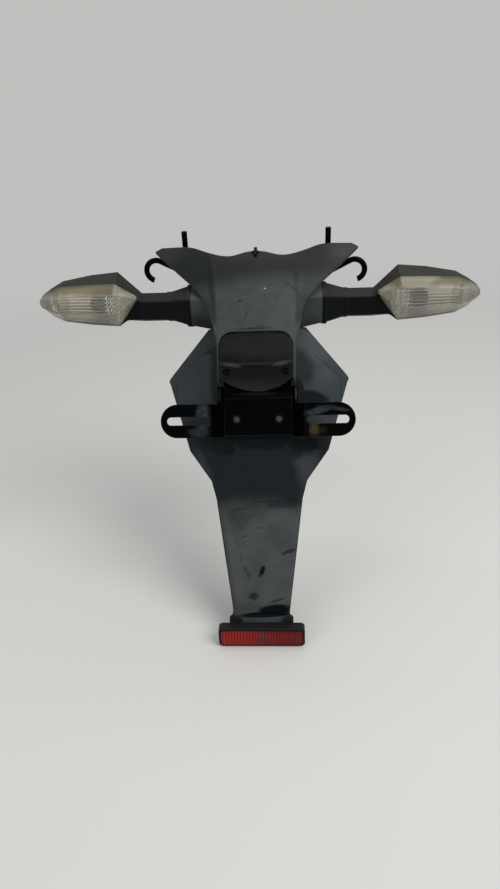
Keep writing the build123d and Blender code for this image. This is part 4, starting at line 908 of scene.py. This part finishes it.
def add_lens_optics(sign):
    """Bars for the flutes behind a lens's front face and lower bevel, and domes at its inner end."""
    tools = []
    across = Matrix.Diagonal((sign, 1, 1))
    first = lens_section(FLUTES_START)
    for count, point in ((FRONT_FLUTES, front_point), (BEVEL_FLUTES, bevel_point)):
        for i in range(count):
            share = (i + 0.5) / count
            start, radius, inwards = point(first, share)
            end, tip_radius, _ = point(LENS_TIP, share)
            tools.append(add_flute(across @ start, across @ end, radius, tip_radius, inwards))
    for column in range(PILLOW_COLUMNS):
        section = lens_section(PILLOWS_START + column * PILLOW_PITCH)
        half_height = PILLOW_FULLNESS * (section["high"] - section["low"]) / PILLOW_ROWS / 2
        for row in range(PILLOW_ROWS):
            middle = front_point(section, (row + 0.5) / PILLOW_ROWS)[0]
            deselect()
            bpy.ops.mesh.primitive_ico_sphere_add(
                subdivisions=PILLOW_DIVISIONS, radius=1, location=across @ middle * MM)
            pillow = bpy.context.object
            pillow.scale = Vector((PILLOW_FULLNESS * PILLOW_PITCH / 2, PILLOW_RISE, half_height)) * MM
            tools.append(pillow)
    return join(tools, "lens_optics")


class TAIL_TIDY_OT_cover(bpy.types.Operator):
    """Finish the moulded cover and the inner fender"""
    bl_idname = "tail_tidy.cover"
    bl_label = "Cover and fender"

    def execute(self, context):
        colours = context.scene.tail_tidy_colours
        dress(faded_and_shaded_polypropylene(colours), "upper_cover")
        fender = weathered_plastic("weathered and shaded polypropylene", colours.fender, colours,
                                   roughness=0.5, shine=0.25, dust=0.12, painted_shade=FENDER_SHADE)
        dress(fender, "inner_fender")
        return {"FINISHED"}


class TAIL_TIDY_OT_flap(bpy.types.Operator):
    """Finish the mud flap with its damp patches, stains and scratches"""
    bl_idname = "tail_tidy.flap"
    bl_label = "Mud flap"

    def execute(self, context):
        dress(stained_and_shaded_polypropylene(context.scene.tail_tidy_colours), "mud_flap")
        return {"FINISHED"}


class TAIL_TIDY_OT_bracket(bpy.types.Operator):
    """Finish the plate bracket, the stay and its rods in black enamel"""
    bl_idname = "tail_tidy.bracket"
    bl_label = "Bracket, stay and rods"

    def execute(self, context):
        enamel = gloss_enamel(context.scene.tail_tidy_colours)
        dress(enamel, "plate_bracket", "stay", *pair("tie_hook", "locating_pin"))
        return {"FINISHED"}


class TAIL_TIDY_OT_fasteners(bpy.types.Operator):
    """Finish the fasteners in dull zinc or black, and cut the cross recesses of the screws that show"""
    bl_idname = "tail_tidy.fasteners"
    bl_label = "Fasteners"

    def execute(self, context):
        colours = context.scene.tail_tidy_colours
        sizes = context.scene.tail_tidy_sizes
        zinc = zinc_steel(colours)
        dress(zinc, "cover_screws", "flap_screws", "bracket_bolts", "stay_bolts", "stay_nuts",
              "reflector_stud", "reflector_nut", *pair("stalk_stud", "stalk_nut"))
        blackened = blackened_steel(colours)
        dress(blackened, "edge_clip", "bracket_nuts")
        plate = Matrix.Translation(Vector(PLATE_MIDDLE) * MM) @ Matrix.Rotation(PLATE_TURN[0], 4, "X")
        across, up, out = LAMP_SCREW
        places = [Vector((sign * across, up, out)) * MM for sign in SIDES.values()]
        lamp_heads = [plate @ Matrix.Translation(place) for place in places]
        lamp_screws = merged_copy("lamp_screws", "lamp_cross_screws")
        cut_crosses(lamp_screws, lamp_heads, sizes)
        finish_piece(lamp_screws, blackened, "black_paint", SCREW_SMOOTH, "lamp_screws")
        forwards = Matrix.Rotation(-pi / 2, 4, "X")
        for side, sign in SIDES.items():
            across, along, up = LENS_SCREW
            head = Matrix.Translation(Vector((sign * across, along, up)) * MM) @ forwards
            lens_screw = merged_copy(f"lens_screw_{side}", f"lens_cross_screw_{side}")
            cut_crosses(lens_screw, [head], sizes)
            finish_piece(lens_screw, zinc, "zinc_steel", SCREW_SMOOTH, f"lens_screw_{side}")
        return {"FINISHED"}


class TAIL_TIDY_OT_lamp(bpy.types.Operator):
    """Finish the plate lamp with its base, lens, socket and bulb"""
    bl_idname = "tail_tidy.lamp"
    bl_label = "Plate lamp"

    def execute(self, context):
        colours = context.scene.tail_tidy_colours
        dress(scuffed_and_highlighted_abs(colours), "lamp_housing", "lamp_base", "lamp_socket")
        dress(clear_acrylic(colours), "lamp_lens")
        dress(bulb_glass("clear bulb glass", colours.clear, transmission=0.8), "lamp_bulb")
        return {"FINISHED"}


class TAIL_TIDY_OT_indicators(bpy.types.Operator):
    """Finish the indicators and their stalks, and mould the flutes inside the lenses"""
    bl_idname = "tail_tidy.indicators"
    bl_label = "Indicators"

    def execute(self, context):
        colours = context.scene.tail_tidy_colours
        housing = weathered_plastic("moulded ABS", colours.indicator, colours,
                                    roughness=0.42, shine=0.07, dust=0.22)
        dress(housing, *pair("indicator_housing", "bulb_holder"))
        rubber = weathered_plastic("dusty rubber", colours.rubber, colours,
                                   roughness=0.6, shine=0.1, dust=0.15)
        dress(rubber, *pair("rubber_stalk"))
        dress(metallised_plastic(colours), *pair("indicator_liner"))
        dress(bulb_glass("coated bulb glass", colours.bulb, transmission=0.1), *pair("indicator_bulb"))
        acrylic = yellowed_acrylic(colours)
        for side, sign in SIDES.items():
            lens = merged_copy(f"indicator_lens_{side}", f"fluted_lens_{side}")
            combine(lens, add_lens_optics(sign), "UNION")
            finish_piece(lens, acrylic, "clear_lens", LENS_SMOOTH, f"indicator_lens_{side}")
        return {"FINISHED"}


class TAIL_TIDY_OT_reflector(bpy.types.Operator):
    """Finish the reflector's tray and lens, and stand its upright ribs on the lens"""
    bl_idname = "tail_tidy.reflector"
    bl_label = "Reflector"

    def execute(self, context):
        colours = context.scene.tail_tidy_colours
        sizes = context.scene.tail_tidy_sizes
        low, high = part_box("reflector_lens")
        width = high.x - low.x - 2 * sizes.reflector_border
        height = high.z - low.z - 2 * sizes.reflector_border
        # An even count of ribs puts a valley on the middle of the lens
        count = 2 * round(width / sizes.reflector_pitch / 2)
        red = red_acrylic(colours, width / count / MM)
        dress(red, "reflector_lens")
        tray = weathered_plastic("moulded tray ABS", colours.tray, colours,
                                 roughness=0.4, shine=0.15, dust=0.06)
        dress(tray, "reflector_housing")
        middle = ((low.x + high.x) / 2, low.y + RIB_SUNK * MM, (low.z + high.z) / 2)
        deselect()
        bpy.ops.mesh.primitive_grid_add(
            x_subdivisions=count * RIB_STEPS, y_subdivisions=1, size=1, location=middle,
            rotation=(pi / 2, 0, 0))
        ribs = bpy.context.object
        ribs.name = "reflector_ribs"
        ribs.scale = (width, height, 1)
        settle(ribs)
        start = (low.x + high.x - width) / 2
        for step in range(1, RIB_STEPS):
            bpy.ops.object.mode_set(mode="EDIT")
            bpy.ops.mesh.select_all(action="DESELECT")
            bpy.ops.object.mode_set(mode="OBJECT")
            for vertex in ribs.data.vertices:
                column = round((vertex.co.x - start) / width * count * RIB_STEPS)
                vertex.select = column % RIB_STEPS == step
            bpy.ops.object.mode_set(mode="EDIT")
            rise = sin(pi * step / RIB_STEPS) * sizes.reflector_relief
            bpy.ops.transform.translate(value=(0, -rise, 0))
            bpy.ops.object.mode_set(mode="OBJECT")
        bpy.ops.object.mode_set(mode="EDIT")
        bpy.ops.mesh.select_all(action="SELECT")
        bpy.ops.mesh.extrude_region_move(TRANSFORM_OT_translate={"value": (0, RIB_BACK * MM, 0)})
        bpy.ops.mesh.select_all(action="SELECT")
        bpy.ops.mesh.normals_make_consistent(inside=False)
        bpy.ops.object.mode_set(mode="OBJECT")
        finish_piece(ribs, red, "reflector_red", RIB_SMOOTH)
        return {"FINISHED"}


def seen_directly(tree):
    """1 where a ray comes from the camera, a reflection or through glass, otherwise 0."""
    path = add_node(tree, "LightPath").outputs
    total = path["Is Camera Ray"]
    for name in ("Is Glossy Ray", "Is Transmission Ray"):
        total = add_node(tree, "Math", {0: total, 1: path[name]}, operation="MAXIMUM").outputs[0]
    return total


def pale_floor(colours):
    """Matt paper: even and pale, fading into the background far from the object."""
    material, tree, places = start_material("pale matt paper")
    paper = add_node(tree, "BsdfPrincipled", {
        "Base Color": colours.floor, "Roughness": 0.9, "Specular IOR Level": 0.1,
    }).outputs[0]
    far = add_node(tree, "VectorMath", {0: places}, operation="LENGTH").outputs["Value"]
    away = add_node(tree, "MapRange", {"Value": far, **FLOOR_FADE},
                    interpolation_type="SMOOTHSTEP").outputs[0]
    share = add_node(tree, "Math", {0: away, 1: seen_directly(tree)}, operation="MULTIPLY").outputs[0]
    plain = add_node(tree, "Emission", {"Color": colours.background, "Strength": 1.0}).outputs[0]
    surface = add_node(tree, "MixShader", {0: share, 1: paper, 2: plain}).outputs[0]
    add_node(tree, "OutputMaterial", {"Surface": surface})
    return material


def light_world(scene, colours):
    """Soft light from all round, with the background's colour where it is seen."""
    scene.world = bpy.data.worlds.new("studio")
    scene.world.use_nodes = True
    tree = scene.world.node_tree
    tree.nodes.clear()
    shown = add_node(tree, "Mix", {
        0: seen_directly(tree), 6: colours.sky, 7: colours.background}, data_type="RGBA").outputs[2]
    background = add_node(tree, "Background", {"Color": shown, "Strength": 1.0}).outputs[0]
    add_node(tree, "OutputWorld", {"Surface": background})


class TAIL_TIDY_OT_stage(bpy.types.Operator):
    """Lay the pale floor, light it softly and set the camera"""
    bl_idname = "tail_tidy.stage"
    bl_label = "Stage"

    def execute(self, context):
        colours = context.scene.tail_tidy_colours
        sizes = context.scene.tail_tidy_sizes
        deselect()
        under = (0, 0, CAD_BOX[0][2] - FLOOR_GAP)
        bpy.ops.mesh.primitive_plane_add(size=sizes.floor_size, location=under)
        floor = bpy.context.object
        floor.name = "floor"
        settle(floor)
        floor.data.materials.append(pale_floor(colours))
        light_world(context.scene, colours)
        for name, place, size, power in LIGHTS:
            aim = Vector(LIGHTS_AIM) - Vector(place)
            turn = aim.to_track_quat("-Z", "Y").to_euler()
            bpy.ops.object.light_add(type="AREA", location=place, rotation=turn)
            lamp = bpy.context.object
            lamp.name = name
            lamp.data.size = size
            lamp.data.energy = power
        bpy.ops.object.camera_add()
        camera = bpy.context.object
        camera.name = "camera"
        axes = Matrix((CAMERA_RIGHT, CAMERA_UP, CAMERA_BACK)).transposed().to_4x4()
        camera.matrix_world = Matrix.Translation(Vector(CAMERA_PLACE) * MM) @ axes
        camera.data.lens = CAMERA_LENS
        camera.data.clip_start = CAMERA_NEAREST
        context.scene.camera = camera
        context.scene.view_settings.view_transform = "Standard"
        return {"FINISHED"}


class TAIL_TIDY_PT_panel(bpy.types.Panel):
    """Steps that finish the tail tidy, in order"""
    bl_idname = "TAIL_TIDY_PT_panel"
    bl_label = "Tail tidy"
    bl_space_type = "VIEW_3D"
    bl_region_type = "UI"
    bl_category = "Tail tidy"

    def draw(self, context):
        for step in STEPS:
            self.layout.operator(step.bl_idname)


STEPS = (
    TAIL_TIDY_OT_cover,
    TAIL_TIDY_OT_flap,
    TAIL_TIDY_OT_bracket,
    TAIL_TIDY_OT_fasteners,
    TAIL_TIDY_OT_lamp,
    TAIL_TIDY_OT_indicators,
    TAIL_TIDY_OT_reflector,
    TAIL_TIDY_OT_stage,
)
CLASSES = (TailTidyColours, TailTidySizes, *STEPS, TAIL_TIDY_PT_panel)


def register():
    """Registers the classes and the scene's settings."""
    for item in CLASSES:
        bpy.utils.register_class(item)
    bpy.types.Scene.tail_tidy_colours = bpy.props.PointerProperty(type=TailTidyColours)
    bpy.types.Scene.tail_tidy_sizes = bpy.props.PointerProperty(type=TailTidySizes)


def unregister():
    """Removes the scene's settings and the classes."""
    del bpy.types.Scene.tail_tidy_sizes
    del bpy.types.Scene.tail_tidy_colours
    for item in reversed(CLASSES):
        bpy.utils.unregister_class(item)


def main():
    """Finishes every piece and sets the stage."""
    register()
    bpy.ops.tail_tidy.cover()
    bpy.ops.tail_tidy.flap()
    bpy.ops.tail_tidy.bracket()
    bpy.ops.tail_tidy.fasteners()
    bpy.ops.tail_tidy.lamp()
    bpy.ops.tail_tidy.indicators()
    bpy.ops.tail_tidy.reflector()
    bpy.ops.tail_tidy.stage()


if __name__ == "__main__":
    main()
